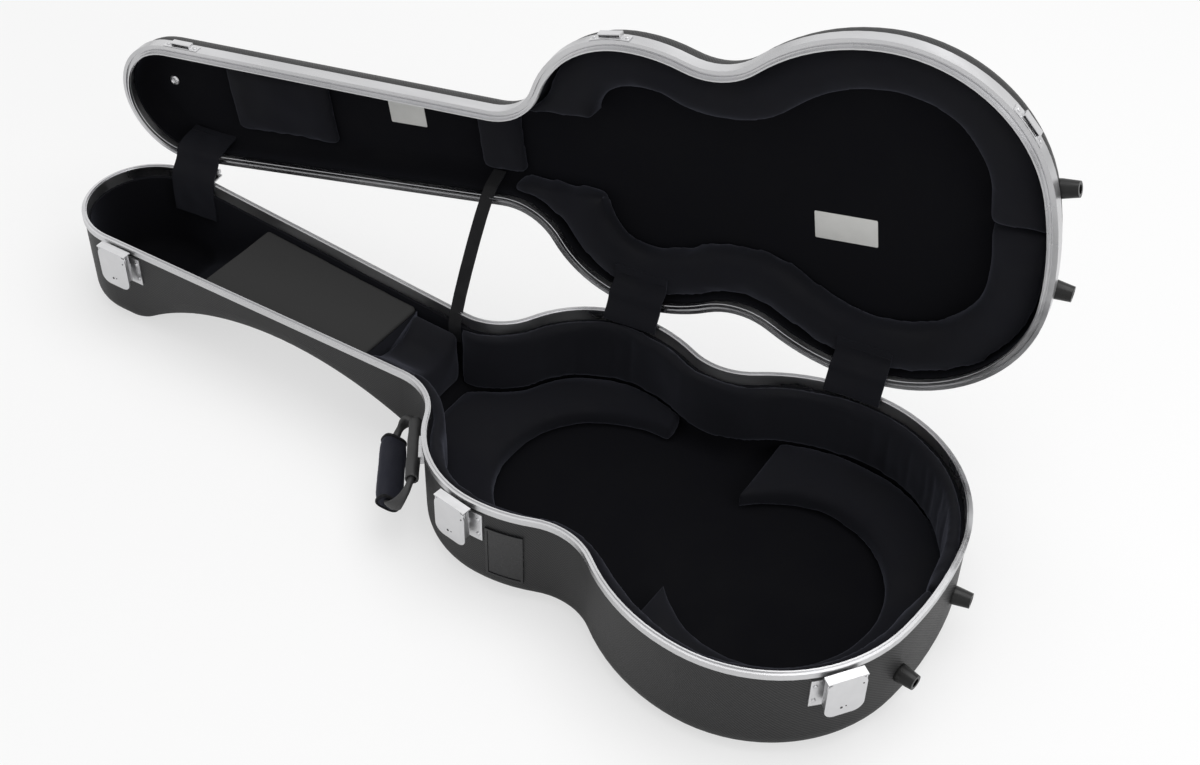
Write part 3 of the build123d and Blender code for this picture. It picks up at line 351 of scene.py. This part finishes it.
class Piece:
    """Mesh tools that every sub-assembly uses."""

    @staticmethod
    def from_bmesh(name: str, shape: bmesh.types.BMesh) -> bpy.types.Object:
        """Make a scene object of a bmesh and free the bmesh."""
        mesh = bpy.data.meshes.new(name)
        shape.to_mesh(mesh)
        shape.free()
        made = bpy.data.objects.new(name, mesh)
        bpy.context.scene.collection.objects.link(made)
        return made

    @staticmethod
    def merged_copy(name: str, node: str) -> bpy.types.Object:
        """Make an object from a frame node's mesh, with its doubles merged."""
        shape = bmesh.new()
        shape.from_mesh(NODES[node].data)
        bmesh.ops.remove_doubles(shape, verts=shape.verts, dist=1e-6)
        return Piece.from_bmesh(name, shape)

    @staticmethod
    def apply(obj: bpy.types.Object) -> None:
        """Put what the modifiers make into the mesh and drop the modifiers."""
        depsgraph = bpy.context.evaluated_depsgraph_get()
        done = bpy.data.meshes.new_from_object(obj.evaluated_get(depsgraph))
        obj.modifiers.clear()
        obj.data = done

    @staticmethod
    def remesh(obj: bpy.types.Object, voxel: float) -> None:
        """Rebuild a closed mesh from even faces of a size in metres."""
        modifier = obj.modifiers.new("even", "REMESH")
        modifier.mode = "VOXEL"
        modifier.voxel_size = voxel
        Piece.apply(obj)

    @staticmethod
    def shade(obj: bpy.types.Object, angle: float = 180.0) -> None:
        """Shade smooth, with edges over an angle in degrees kept sharp."""
        obj.data.shade_smooth()
        if angle < 180:
            obj.data.set_sharp_from_angle(angle=radians(angle))

    @staticmethod
    def relax(obj: bpy.types.Object, rounds: int, factor: float = 0.5) -> None:
        """Smooth the vertices of a mesh a number of rounds."""
        shape = bmesh.new()
        shape.from_mesh(obj.data)
        for _ in range(rounds):
            bmesh.ops.smooth_vert(shape, verts=shape.verts, factor=factor,
                                  use_axis_x=True, use_axis_y=True, use_axis_z=True)
        shape.to_mesh(obj.data)
        shape.free()

    @staticmethod
    def ripple(obj: bpy.types.Object, depth: float, size: float, seed: float) -> None:
        """Move vertices along their normals by slow noise.

        Args:
            obj: Object whose mesh is moved.
            depth: Greatest move in metres.
            size: Length of one ripple in metres.
            seed: Offset of the noise, so that pieces differ.
        """
        shape = bmesh.new()
        shape.from_mesh(obj.data)
        shape.normal_update()
        for vert in shape.verts:
            vert.co += vert.normal * depth * noise.noise(vert.co / size + Vector((seed, seed, seed)))
        shape.to_mesh(obj.data)
        shape.free()

    @staticmethod
    def bevel(obj: bpy.types.Object, width: float, segments: int = 2, angle: float = 30.0) -> None:
        """Round the sharp edges of a mesh by a width in metres."""
        shape = bmesh.new()
        shape.from_mesh(obj.data)
        shape.normal_update()
        bmesh.ops.dissolve_limit(shape, angle_limit=radians(1), verts=shape.verts, edges=shape.edges)
        sharp = [e for e in shape.edges if e.is_manifold and abs(e.calc_face_angle(0)) > radians(angle)]
        bmesh.ops.bevel(shape, geom=sharp, offset=width, segments=segments, profile=0.5,
                        affect="EDGES", clamp_overlap=True, material=-1)
        shape.to_mesh(obj.data)
        shape.free()

    @staticmethod
    def dress(obj: bpy.types.Object, finish: Finish, body: str, *replaced: str) -> bpy.types.Object:
        """Give a piece its finish and body, and hide the nodes it stands for.

        Args:
            obj: Finished piece, in its place.
            finish: Finish of its surface.
            body: Name of the body it rides on, or "" where it rides on none.
            replaced: Nodes of the frame that it stands for.

        Returns:
            The same piece.
        """
        obj.data.materials.clear()
        obj.data.materials.append(finish.material())
        if body:
            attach(obj, body)
        if replaced:
            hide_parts(*replaced)
        log.info("piece %s: %d faces", obj.name, len(obj.data.polygons))
        return obj

    @staticmethod
    def paint(node: str, finish: Finish, angle: float = 30.0) -> None:
        """Give a frame node that stays its finish."""
        obj = NODES[node]
        obj.data.materials.clear()
        obj.data.materials.append(finish.material())
        Piece.shade(obj, angle)


class Ribbon:
    """Flat strip of cloth swept along a route."""

    @staticmethod
    def rounded(points: list[Vector], rounds: int = 3) -> list[Vector]:
        """Cut the corners of a route a number of rounds, with its ends kept."""
        for _ in range(rounds):
            cut = [points[0]]
            for a, b in zip(points, points[1:]):
                cut += [a.lerp(b, 0.25), a.lerp(b, 0.75)]
            points = cut + [points[-1]]
        return points

    @staticmethod
    def even(points: list[Vector], step: float) -> list[Vector]:
        """Walk a route in even steps of a length in metres."""
        lengths = [0.0]
        for a, b in zip(points, points[1:]):
            lengths.append(lengths[-1] + (b - a).length)
        count = max(2, round(lengths[-1] / step))
        walked, index = [], 0
        for k in range(count + 1):
            goal = lengths[-1] * k / count
            while index < len(points) - 2 and lengths[index + 1] < goal:
                index += 1
            share = (goal - lengths[index]) / max(1e-9, lengths[index + 1] - lengths[index])
            walked.append(points[index].lerp(points[index + 1], share))
        return walked

    @staticmethod
    def make(name: str, route: list[Vector], across: Vector, width: float, wall: float,
             columns: int = 14) -> bpy.types.Object:
        """Sweep a strip along a route and give it its thickness.

        Args:
            name: Name of the piece.
            route: Points along its middle, in metres.
            across: Direction of its width.
            width: Width in metres.
            wall: Thickness in metres.
            columns: Faces across the width.

        Returns:
            The strip as a closed mesh.
        """
        shape = bmesh.new()
        row = [shape.verts.new(route[0] + across * width * (k / columns - 0.5)) for k in range(columns + 1)]
        edges = [shape.edges.new(pair) for pair in zip(row, row[1:])]
        for a, b in zip(route, route[1:]):
            grown = bmesh.ops.extrude_edge_only(shape, edges=edges)["geom"]
            verts = [g for g in grown if isinstance(g, bmesh.types.BMVert)]
            edges = [g for g in grown if isinstance(g, bmesh.types.BMEdge)]
            bmesh.ops.translate(shape, verts=verts, vec=b - a)
        made = Piece.from_bmesh(name, shape)
        solid = made.modifiers.new("wall", "SOLIDIFY")
        solid.thickness = wall
        solid.offset = 0
        Piece.apply(made)
        shape = bmesh.new()
        shape.from_mesh(made.data)
        bmesh.ops.recalc_face_normals(shape, faces=shape.faces)
        shape.to_mesh(made.data)
        shape.free()
        return made


class Tube:
    """Round or oval tube swept along a route."""

    @staticmethod
    def make(name: str, route: list[Vector], upright: Vector, size: Callable[[float], tuple[float, float]],
             closed: bool, sides: int = 20) -> bpy.types.Object:
        """Sweep an oval along a route.

        Args:
            name: Name of the piece.
            route: Points along its middle, in metres.
            upright: Direction of the oval's first half size.
            size: Half sizes of the oval at a share of the route.
            closed: Whether the route's end meets its start.
            sides: Corners of the oval.

        Returns:
            The tube as a mesh.
        """
        shape = bmesh.new()
        rings = []
        count = len(route)
        for k, point in enumerate(route):
            after = route[(k + 1) % count] if closed or k + 1 < count else point
            before = route[k - 1] if closed or k else point
            way = (after - before).normalized()
            side = way.cross(upright).normalized()
            tall, wide = size(k / (count if closed else count - 1))
            ring = bmesh.ops.create_circle(shape, segments=sides, radius=1.0)["verts"]
            for vert in ring:
                vert.co = point + upright * vert.co.x * tall + side * vert.co.y * wide
            rings.append([shape.edges.get(pair) for pair in zip(ring, ring[1:] + ring[:1])])
        pairs = list(zip(rings, rings[1:])) + ([(rings[-1], rings[0])] if closed else [])
        for a, b in pairs:
            bmesh.ops.bridge_loops(shape, edges=a + b)
        if not closed:
            bmesh.ops.holes_fill(shape, edges=rings[0] + rings[-1], sides=0)
        bmesh.ops.recalc_face_normals(shape, faces=shape.faces)
        return Piece.from_bmesh(name, shape)


@dataclass(frozen=True)
class PadCut:
    """How one foam pad is made from its block: sizes in metres."""

    node: str
    body: Body
    voxel: float = 0.005
    fill: float = 0.4
    swell: float = 0.004
    shrink: float = 0.0015
    relax: int = 3
    ripple: float = 0.0012
    seed: float = 1.0
    finish: Finish = VELVET


class Padding:
    """Foam pads, panels and cushions under velvet."""

    CUTS: ClassVar[tuple[PadCut, ...]] = (
        PadCut("base_side_panel_hinge", Body.BASE, 0.004, 0.3, 0.002, 0.001, 2, 0.0016, 3.1),
        PadCut("base_side_panel_latch", Body.BASE, 0.004, 0.3, 0.002, 0.001, 2, 0.0016, 7.7),
        PadCut("upper_bout_pad", Body.BASE, 0.005, 0.4, 0.003, 0.0015, 3, 0.001, 2.3),
        PadCut("lower_bout_pad", Body.BASE, 0.005, 0.4, 0.003, 0.0015, 3, 0.001, 5.9),
        PadCut("neck_cushion", Body.BASE, 0.004, 0.7, 0.006, 0.002, 4, 0.0012, 4.4),
        PadCut("lid_side_pad_hinge", Body.LID, 0.005, 0.5, 0.004, 0.0015, 3, 0.0018, 6.2),
        PadCut("lid_side_pad_latch", Body.LID, 0.005, 0.5, 0.004, 0.0015, 3, 0.0018, 8.5),
        PadCut("lid_neck_pad", Body.LID, 0.003, 0.6, 0.004, 0.001, 3, 0.0012, 1.7),
        PadCut("lid_head_pad", Body.LID, 0.003, 0.5, 0.003, 0.001, 3, 0.0014, 9.1),
    )
    RIPPLE_SIZE: ClassVar[float] = 0.035
    CLOTH_QUALITY: ClassVar[int] = 4
    PRESSURE: ClassVar[float] = 4.0
    STIFFNESS: ClassVar[float] = 2.0
    LAST_FRAME: ClassVar[int] = 12

    def build(self) -> None:
        """Make every pad."""
        for cut in self.CUTS:
            self._pad(cut)

    def _pad(self, cut: PadCut) -> None:
        """Make one pad: an even mesh, blown up a little as cloth over foam."""
        pad = Piece.merged_copy(f"{cut.node}_cover", cut.node)
        Piece.remesh(pad, cut.voxel)
        Piece.relax(pad, cut.relax)
        self._swell(pad, cut)
        Piece.ripple(pad, cut.ripple, self.RIPPLE_SIZE, cut.seed)
        Piece.relax(pad, 1)
        Piece.shade(pad)
        Piece.dress(pad, cut.finish, cut.body.value, cut.node)

    @staticmethod
    def _swell(pad: bpy.types.Object, cut: PadCut) -> None:
        """Run the pressure cloth on a pad, with each point's way capped."""
        shape = bmesh.new()
        shape.from_mesh(pad.data)
        shape.normal_update()
        for vert in shape.verts:
            vert.co -= vert.normal * cut.shrink
        shape.to_mesh(pad.data)
        shape.free()
        start = [vert.co.copy() for vert in pad.data.vertices]
        cloth = pad.modifiers.new("cloth", "CLOTH")
        cloth.settings.quality = Padding.CLOTH_QUALITY
        cloth.settings.use_pressure = True
        cloth.settings.uniform_pressure_force = Padding.PRESSURE
        cloth.settings.effector_weights.gravity = 0.0
        cloth.settings.bending_stiffness = Padding.STIFFNESS
        cloth.collision_settings.use_collision = False
        scene = bpy.context.scene
        for step in range(1, Padding.LAST_FRAME + 1):
            scene.frame_set(step)
        Piece.apply(pad)
        scene.frame_set(1)
        for vert, old in zip(pad.data.vertices, start):
            way = vert.co - old
            if way.length > cut.swell:
                vert.co = old + way.normalized() * cut.swell


class Linings:
    """Bonded linings of the two shells."""

    def build(self) -> None:
        """Dress both linings."""
        for node, body in (("base_lining", Body.BASE), ("lid_lining", Body.LID)):
            cover = Piece.merged_copy(f"{node}_pile", node)
            Piece.shade(cover, 40)
            Piece.dress(cover, LINING, body.value, node)


@dataclass
class Shells:
    """The two laminate shells, their metal rims and the bare badge."""

    edge_angle: float = 25.0

    def build(self) -> None:
        """Give the rigid nodes that stay their finishes."""
        for node in ("base_shell", "lid_shell"):
            Piece.paint(node, SHELL, self.edge_angle)
        for node in ("base_rim", "lid_rim"):
            Piece.paint(node, RIM, self.edge_angle)
        Piece.paint("badge_frame", BADGE_AND_HOLE_SHADE, self.edge_angle)
        for part in ("base", "lid"):
            for side in Side:
                Piece.paint(f"{part}_foot_{side.name.lower()}_side", RUBBER, self.edge_angle)


@dataclass
class AccessoryBox:
    """Box in the neck with its cloth covered lid."""

    lid_voxel: float = 1.8 * MM
    lid_ripple: float = 0.7 * MM

    def build(self) -> None:
        """Make the box's walls and lid."""
        walls = Piece.merged_copy("accessory_box_walls", "accessory_box")
        Piece.shade(walls, 35)
        Piece.dress(walls, VELVET, Body.BASE.value, "accessory_box")
        lid = Piece.merged_copy("accessory_box_lid_cover", "accessory_box_lid")
        Piece.remesh(lid, self.lid_voxel)
        Piece.relax(lid, 2)
        Piece.ripple(lid, self.lid_ripple, 0.05, 2.2)
        Piece.shade(lid)
        Piece.dress(lid, BOX_CLOTH, Body.BOX_LID.value, "accessory_box_lid")


@dataclass
class HingeSet:
    """Metal leaves and pins of the hinges and the cloth flaps that cover them, in millimetres."""

    flap_wall: float = 2.0
    lip_drop: float = 3.0
    pad_front: float = 7.0
    pad_run: float = 24.0
    lining_end: float = 33.0
    hem_rows: int = 4
    hem_steps: int = 24
    hem_share: float = 0.96
    hem_raise: float = 0.45
    names: tuple[str, ...] = ("head", "upper", "lower")

    def build(self) -> None:
        """Dress the leaves and pins and make the flaps."""
        for name in self.names:
            for leaf in ("base", "lid"):
                Piece.paint(f"{name}_hinge_{leaf}_leaf", RIM)
            Piece.paint(f"{name}_hinge_pin", PIN)
            self._flap(name)
        for node in ("hinge_base_rivets", "hinge_lid_rivets"):
            Piece.paint(node, PIN)

    def _flap(self, name: str) -> None:
        """Make one flap, which bends from the base over the lid's lip.

        Args:
            name: Hinge that the flap covers.
        """
        point, way = PLAN.hinge_axis()
        low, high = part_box(f"{name}_hinge_flap")
        outwards = way.cross(UP) * -1
        middle = (low + high) / 2
        middle = point + way * (middle - point).dot(way)
        width = {"head": 56.0}.get(name, 60.0) * MM
        verts = [v.co - middle for v in NODES[f"{name}_hinge_flap"].data.vertices]
        near = min(v.dot(outwards) for v in verts) + self.flap_wall / 2 * MM
        top = max(v.z for v in verts) - 1.5 * self.flap_wall * MM
        front = -(self.lip_drop + PLAN.axis_up + self.flap_wall / 2 + 0.3) * MM
        bottom = min(v.z for v in verts)
        ends = [(self.lining_end * MM, top + 0.5 * MM)]
        if name != "head":
            ends = [(self.pad_front * MM, top + 4 * MM), (self.pad_front * MM, top + self.pad_run * MM)]
        corners = [(near, bottom), (near, -PLAN.axis_up * MM), (front, 0.5 * top), (front, top - 2 * MM)]
        corners += ends
        route = [middle + outwards * w + UP * v for w, v in corners]
        route = Ribbon.even(Ribbon.rounded(route), ROUTE_STEP)
        flap = Ribbon.make(f"{name}_hinge_flap_cloth", route, way, width, self.flap_wall * MM, 20)
        Piece.ripple(flap, 0.0009, 0.02, len(name))
        Piece.shade(flap, 60)
        Piece.dress(flap, VELVET, "", f"{name}_hinge_flap")
        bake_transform(flap)
        self._hem(name, route, way, width)

    def _hem(self, name: str, route: list[Vector], way: Vector, width: float) -> None:
        """Make the raised seam across a flap's lid end.

        Args:
            name: Hinge that the flap covers.
            route: Middle line of the flap.
            way: Direction of the flap's width.
            width: Width of the flap in metres.
        """
        place = route[-self.hem_rows]
        facing = (route[1 - self.hem_rows] - route[-1 - self.hem_rows]).normalized().cross(way)
        shares = [k / self.hem_steps - 0.5 for k in range(self.hem_steps + 1)]
        line = [place + way * width * self.hem_share * share for share in shares]
        half = ((self.flap_wall / 2 + self.hem_raise) * MM, 0.6 * MM)
        hem = Tube.make(f"{name}_hinge_flap_hem", line, facing, lambda share: half, False, 8)
        Piece.shade(hem)
        Piece.dress(hem, VELVET, Body.LID.value)


@dataclass
class Stay:
    """Webbing stay from the base lining over both rims to the lid's neck pad, in millimetres."""

    width: float = 14.0
    wall: float = 1.6

    def build(self) -> None:
        """Make the stay along its block's own run."""
        verts = [v.co.copy() for v in NODES["stay_strap"].data.vertices]
        low = [v for v in verts if v.z < 0.1]
        high = [v for v in verts if v.z > max(q.z for q in verts) - 0.004]
        bottom = sum(low, Vector()) / len(low)
        top = sum(high, Vector()) / len(high)
        run = Vector((top.x - bottom.x, top.y - bottom.y, 0)).normalized()
        across = run.cross(UP)
        lip = max((v for v in verts if v.z < top.z - 0.004), key=lambda v: v.z)
        lip = bottom + run * (lip - bottom).dot(run) + UP * (lip.z - bottom.z)
        corners = [bottom, Vector((bottom.x, bottom.y, PLAN.rim_z * MM)), lip, top]
        route = Ribbon.even(Ribbon.rounded(corners, 2), ROUTE_STEP)
        stay = Ribbon.make("stay_strap_webbing", route, across, self.width * MM, self.wall * MM, 8)
        Piece.shade(stay, 60)
        Piece.dress(stay, WEBBING, "", "stay_strap")
        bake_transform(stay)


@dataclass
class LatchSet:
    """Draw latches: plates, links, folded covers and strikes, in millimetres."""

    # Place and radius of the two black dots of painted shade that stand for the cover's holes, in
    # millimetres.
    HOLE_SHADE_DOTS: ClassVar[tuple[tuple[float, float, float], ...]] = ((-3.0, -9.0, 1.5), (1.6, -8.0, 0.8))
    half: float = 20.0
    fold: float = 21.5
    face: float = 4.8
    dot_depth: float = 0.4
    names: tuple[str, ...] = ("head", "upper", "lower")

    def build(self) -> None:
        """Dress every latch and dot its cover."""
        for name in self.names:
            for part in ("plate", "link", "strike", "cover"):
                self._rounded(f"{name}_latch_{part}", name, part)
            self._dots(name)
        for node in ("latch_plate_rivets", "latch_strike_rivets"):
            Piece.paint(node, PIN)

    @staticmethod
    def _rounded(node: str, name: str, part: str) -> None:
        """Replace a fitting by itself with rounded edges."""
        body = {"plate": "base", "strike": "lid"}.get(part, f"{name}_{part}")
        fitting = Piece.merged_copy(f"{node}_rounded", node)
        Piece.bevel(fitting, 0.25 * MM)
        Piece.shade(fitting, 20)
        Piece.dress(fitting, LATCH, body, node)

    def _dots(self, name: str) -> None:
        """Make the two black dots of painted shade that stand for holes low on the cover, and the stop dot
        by its fold.

        Args:
            name: Latch that the cover belongs to.
        """
        joint = JOINTS[f"{name}_latch_cover_pivot"]
        tangent = -Vector(joint["axis"]).normalized()
        place = Matrix((tangent, UP, tangent.cross(UP))).transposed().to_4x4()
        place.translation = Vector(joint["pos_m"])
        shape = bmesh.new()
        # The first two dots are gloss black discs of painted shade where the holes are; the last is the stop
        # dot.
        for x, y, radius in (*self.HOLE_SHADE_DOTS, (self.half - 4.0, self.fold - 2.5, 1.0)):
            dot = bmesh.ops.create_cone(shape, cap_ends=True, segments=16, radius1=radius,
                                        radius2=radius * 0.8, depth=self.dot_depth)
            bmesh.ops.translate(shape, vec=(x, y, self.face + 0.1), verts=dot["verts"])
        dots = Piece.from_bmesh(f"{name}_latch_cover_dots", shape)
        dots.data.transform(place @ Matrix.Scale(MM, 4))
        Piece.shade(dots, 35)
        # The badge's gloss black also serves here as painted shade in the holes.
        Piece.dress(dots, BADGE_AND_HOLE_SHADE, f"{name}_cover")


@dataclass
class Handle:
    """Carrying handle: sleeve, strap loop, padded grip and its bindings, in millimetres."""

    loop_near: float = 52.0
    loop_far: float = 58.0
    offset: float = 41.0
    angle: float = 53.0
    grip_half: float = 45.0
    grip_width: float = 14.5
    grip_depth: float = 9.0
    binding: tuple[float, float] = (2.2, 1.0)
    binding_points: int = 48
    square: float = -0.35

    def build(self) -> None:
        """Make the handle's soft pieces and dress its bracket."""
        joint = JOINTS["handle_pivot"]
        axle = Vector(joint["pos_m"])
        along = Vector(joint["axis"]).normalized()
        outwards = along.cross(UP)
        if outwards.y > 0:
            outwards.negate()
        to_grip = outwards * cos(radians(self.angle)) - UP * sin(radians(self.angle))
        self.across = along.cross(to_grip).normalized()
        self.along, self.to_grip = along, to_grip
        self.middle = self._sleeve_middle(axle)
        Piece.paint("handle_bracket", PIN)
        self._sleeve()
        self._loop()
        self._grip()

    def _sleeve_middle(self, axle: Vector) -> Vector:
        """Middle of the sleeve on the handle's axle."""
        low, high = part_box("handle_sleeve")
        return axle + self.along * ((low + high) / 2 - axle).dot(self.along)

    def _place(self, along: float, out: float) -> Vector:
        """Point of the handle's plane, in metres."""
        return self.middle + (self.along * along + self.to_grip * out) * MM

    def _sleeve(self) -> None:
        """Make the cloth sleeve from its block, a little slack."""
        sleeve = Piece.merged_copy("handle_sleeve_cloth", "handle_sleeve")
        Piece.remesh(sleeve, 0.0011)
        Piece.relax(sleeve, 1)
        Piece.ripple(sleeve, 0.0008, 0.018, 3.3)
        Piece.shade(sleeve)
        Piece.dress(sleeve, STRAP, Body.BASE.value, "handle_sleeve")

    def _loop(self) -> None:
        """Sweep the strap loop, wide and flat on its legs."""
        near, far = self.loop_near, self.loop_far
        corners = [(0, 0), (near, 0), (far, self.offset), (0, self.offset), (-far, self.offset), (-near, 0)]
        points = [self._place(*corner) for corner in corners] + [self._place(0, 0)]
        route = Ribbon.even(Ribbon.rounded(points, 4), ROUTE_STEP)[:-1]

        def size(share: float) -> tuple[float, float]:
            """Half width and half thickness of the strap at a share of the loop."""
            leg = max(0.0, 1 - abs((share * 2) % 1 - 0.42) / 0.16)
            leg = leg * leg * (3 - 2 * leg)
            return (4.0 + 5.0 * leg) * MM, (4.0 - 1.0 * leg) * MM

        strap = Tube.make("handle_strap_loop", route, self.across, size, True, 24)
        Piece.ripple(strap, 0.0011, 0.012, 5.5)
        Piece.shade(strap)
        Piece.dress(strap, STRAP, Body.HANDLE.value, "handle_strap")

    def _grip(self) -> None:
        """Make the padded grip with its bound ends."""
        grip = Piece.merged_copy("handle_grip_padding", "handle_grip")
        Piece.remesh(grip, 0.0022)
        Piece.relax(grip, 3)
        Piece.ripple(grip, 0.0006, 0.02, 7.1)
        Piece.shade(grip)
        Piece.dress(grip, GRIP, Body.HANDLE.value, "handle_grip")
        half = (self.binding[0] * MM, self.binding[1] * MM)
        for end in (-1, 1):
            centre = self._place(end * (self.grip_half - 2.0), self.offset)
            route = []
            for k in range(self.binding_points):
                turn = 2 * pi * (k + 0.5) / self.binding_points
                wide = self.across * cos(turn) * abs(cos(turn)) ** self.square * (self.grip_width - 1.6)
                deep = self.to_grip * sin(turn) * abs(sin(turn)) ** self.square * (self.grip_depth - 0.9)
                route.append(centre + (wide + deep) * MM)
            binding = Tube.make(f"handle_grip_binding_{'near' if end < 0 else 'far'}", route, self.along,
                                lambda share: half, True, 10)
            Piece.shade(binding)
            Piece.dress(binding, WEBBING, Body.HANDLE.value)


@dataclass
class LidTrims:
    """Snap and bare labels on the lid's lining, in millimetres."""

    PROFILE: ClassVar[tuple[tuple[float, float], ...]] = (
        (0, 0.7), (1.0, 0.7), (1.3, 1.5), (2.6, 1.7), (3.0, 1.1),
        (3.6, 1.1), (4.2, 1.8), (5.4, 1.6), (6.0, 0.9), (6.0, 0),
    )
    snap: tuple[float, float] = (-867.0, -5.0)

    def build(self) -> None:
        """Make the snap and the labels."""
        shape = bmesh.new()
        verts = [shape.verts.new((r, 0, -h)) for r, h in self.PROFILE]
        edges = [shape.edges.new(pair) for pair in zip(verts, verts[1:])]
        bmesh.ops.spin(shape, geom=verts + edges, cent=(0, 0, 0), axis=(0, 0, 1),
                       angle=2 * pi, steps=40, use_merge=True)
        bmesh.ops.remove_doubles(shape, verts=shape.verts, dist=1e-4)
        rim = [e for e in shape.edges if e.is_boundary]
        bmesh.ops.holes_fill(shape, edges=rim, sides=0)
        bmesh.ops.recalc_face_normals(shape, faces=shape.faces)
        snap = Piece.from_bmesh("lid_snap_ring", shape)
        roof = Vector((*self.snap, PLAN.rim_z + PLAN.lid_roof)) * MM
        place = Matrix.Translation(roof) @ Matrix.Scale(MM, 4)
        snap.data.transform(PLAN.lid_matrix() @ place)
        Piece.shade(snap, 40)
        Piece.dress(snap, LATCH, Body.LID.value, "lid_snap")
        for name in ("neck_label", "body_label"):
            label = Piece.merged_copy(f"{name}_woven", name)
            Piece.bevel(label, 0.2 * MM)
            Piece.shade(label, 40)
            Piece.dress(label, LABEL, Body.LID.value, name)


@dataclass
class Studio:
    """Camera, floor and lights."""

    eye: tuple[float, float, float] = (0.4908, -1.0951, 1.4192)
    forward: tuple[float, float, float] = (-0.3926, 0.6081, -0.6900)
    roll: float = 1.53
    focal_px: float = 1829.8
    photo_width: float = 1200.0
    sensor: float = 36.0
    ambient: float = 0.62
    floor_reach: float = 14.0

    def build(self) -> None:
        """Make the camera, the floor, the world and the lamps."""
        self._camera()
        self._floor()
        self._world()
        self._lamp("overhead_softbox", (0.1, 0.5, 2.6), (-0.3, 0.05, 0.0), 2.2, 34.0)
        self._lamp("side_softbox", (2.4, -0.9, 1.7), (-0.2, 0.0, 0.1), 1.6, 16.0)

    def _camera(self) -> None:
        """Place the camera at the photograph's angle."""
        forward = Vector(self.forward).normalized()
        level = forward.cross(UP).normalized()
        above = level.cross(forward)
        roll = radians(self.roll)
        right = level * cos(roll) + above * sin(roll)
        upwards = above * cos(roll) - level * sin(roll)
        data = bpy.data.cameras.new("camera")
        data.sensor_width = self.sensor
        data.lens = self.focal_px / self.photo_width * self.sensor
        data.clip_end = 100
        camera = bpy.data.objects.new("camera", data)
        turn = Matrix((right, upwards, -forward)).transposed().to_4x4()
        camera.matrix_world = Matrix.Translation(Vector(self.eye)) @ turn
        bpy.context.scene.collection.objects.link(camera)
        bpy.context.scene.camera = camera

    def _floor(self) -> None:
        """Make the pale floor, which keeps the object's shadow."""
        shape = bmesh.new()
        bmesh.ops.create_grid(shape, x_segments=1, y_segments=1, size=self.floor_reach)
        bmesh.ops.translate(shape, vec=(0, 0, -0.0003), verts=shape.verts)
        floor = Piece.from_bmesh("floor", shape)
        paper = bpy.data.materials.new("floor_paper")
        paper.use_nodes = True
        nodes, links = paper.node_tree.nodes, paper.node_tree.links
        shader = nodes["Principled BSDF"]
        shader.inputs["Base Color"].default_value = (0.9, 0.9, 0.9, 1)
        shader.inputs["Roughness"].default_value = 0.9
        shader.inputs["Specular IOR Level"].default_value = 0.0
        white = nodes.new("ShaderNodeEmission")
        path = nodes.new("ShaderNodeLightPath")
        share = nodes.new("ShaderNodeMath")
        share.operation = "MULTIPLY"
        share.inputs[1].default_value = 0.6
        mix = nodes.new("ShaderNodeMixShader")
        links.new(path.outputs["Is Camera Ray"], share.inputs[0])
        links.new(share.outputs[0], mix.inputs[0])
        links.new(shader.outputs[0], mix.inputs[1])
        links.new(white.outputs[0], mix.inputs[2])
        links.new(mix.outputs[0], nodes["Material Output"].inputs["Surface"])
        floor.data.materials.append(paper)

    def _world(self) -> None:
        """Make the world, white to the camera and to gloss, softer as a light."""
        world = bpy.data.worlds.new("studio")
        world.use_nodes = True
        nodes, links = world.node_tree.nodes, world.node_tree.links
        light = nodes["Background"]
        light.inputs["Color"].default_value = (1, 1, 1, 1)
        light.inputs["Strength"].default_value = self.ambient
        white = nodes.new("ShaderNodeBackground")
        white.inputs["Color"].default_value = (1, 1, 1, 1)
        path = nodes.new("ShaderNodeLightPath")
        seen = path.outputs["Is Camera Ray"]
        for other in ("Is Glossy Ray", "Is Transmission Ray"):
            either = nodes.new("ShaderNodeMath")
            either.operation = "MAXIMUM"
            links.new(seen, either.inputs[0])
            links.new(path.outputs[other], either.inputs[1])
            seen = either.outputs[0]
        mix = nodes.new("ShaderNodeMixShader")
        links.new(seen, mix.inputs[0])
        links.new(light.outputs[0], mix.inputs[1])
        links.new(white.outputs[0], mix.inputs[2])
        links.new(mix.outputs[0], nodes["World Output"].inputs["Surface"])
        bpy.context.scene.world = world

    @staticmethod
    def _lamp(name: str, place: tuple[float, float, float], aim: tuple[float, float, float],
              size: float, power: float) -> None:
        """Hang one square lamp.

        Args:
            name: Name of the lamp.
            place: Where it hangs, in metres.
            aim: Point that it faces.
            size: Side of the square in metres.
            power: Power in watts.
        """
        data = bpy.data.lights.new(name, "AREA")
        data.size = size
        data.energy = power
        lamp = bpy.data.objects.new(name, data)
        way = Vector(place) - Vector(aim)
        turn = way.to_track_quat("Z", "Y").to_matrix().to_4x4()
        lamp.matrix_world = Matrix.Translation(Vector(place)) @ turn
        bpy.context.scene.collection.objects.link(lamp)


def main() -> None:
    """Build every sub-assembly in order."""
    logging.basicConfig(level=logging.INFO)
    bpy.context.scene.view_settings.view_transform = "Standard"
    parts = (Studio(), Shells(), Linings(), Padding(), AccessoryBox(),
             HingeSet(), Stay(), LatchSet(), Handle(), LidTrims())
    for part in parts:
        log.info("building %s", type(part).__name__)
        part.build()


if __name__ == "__main__":
    main()
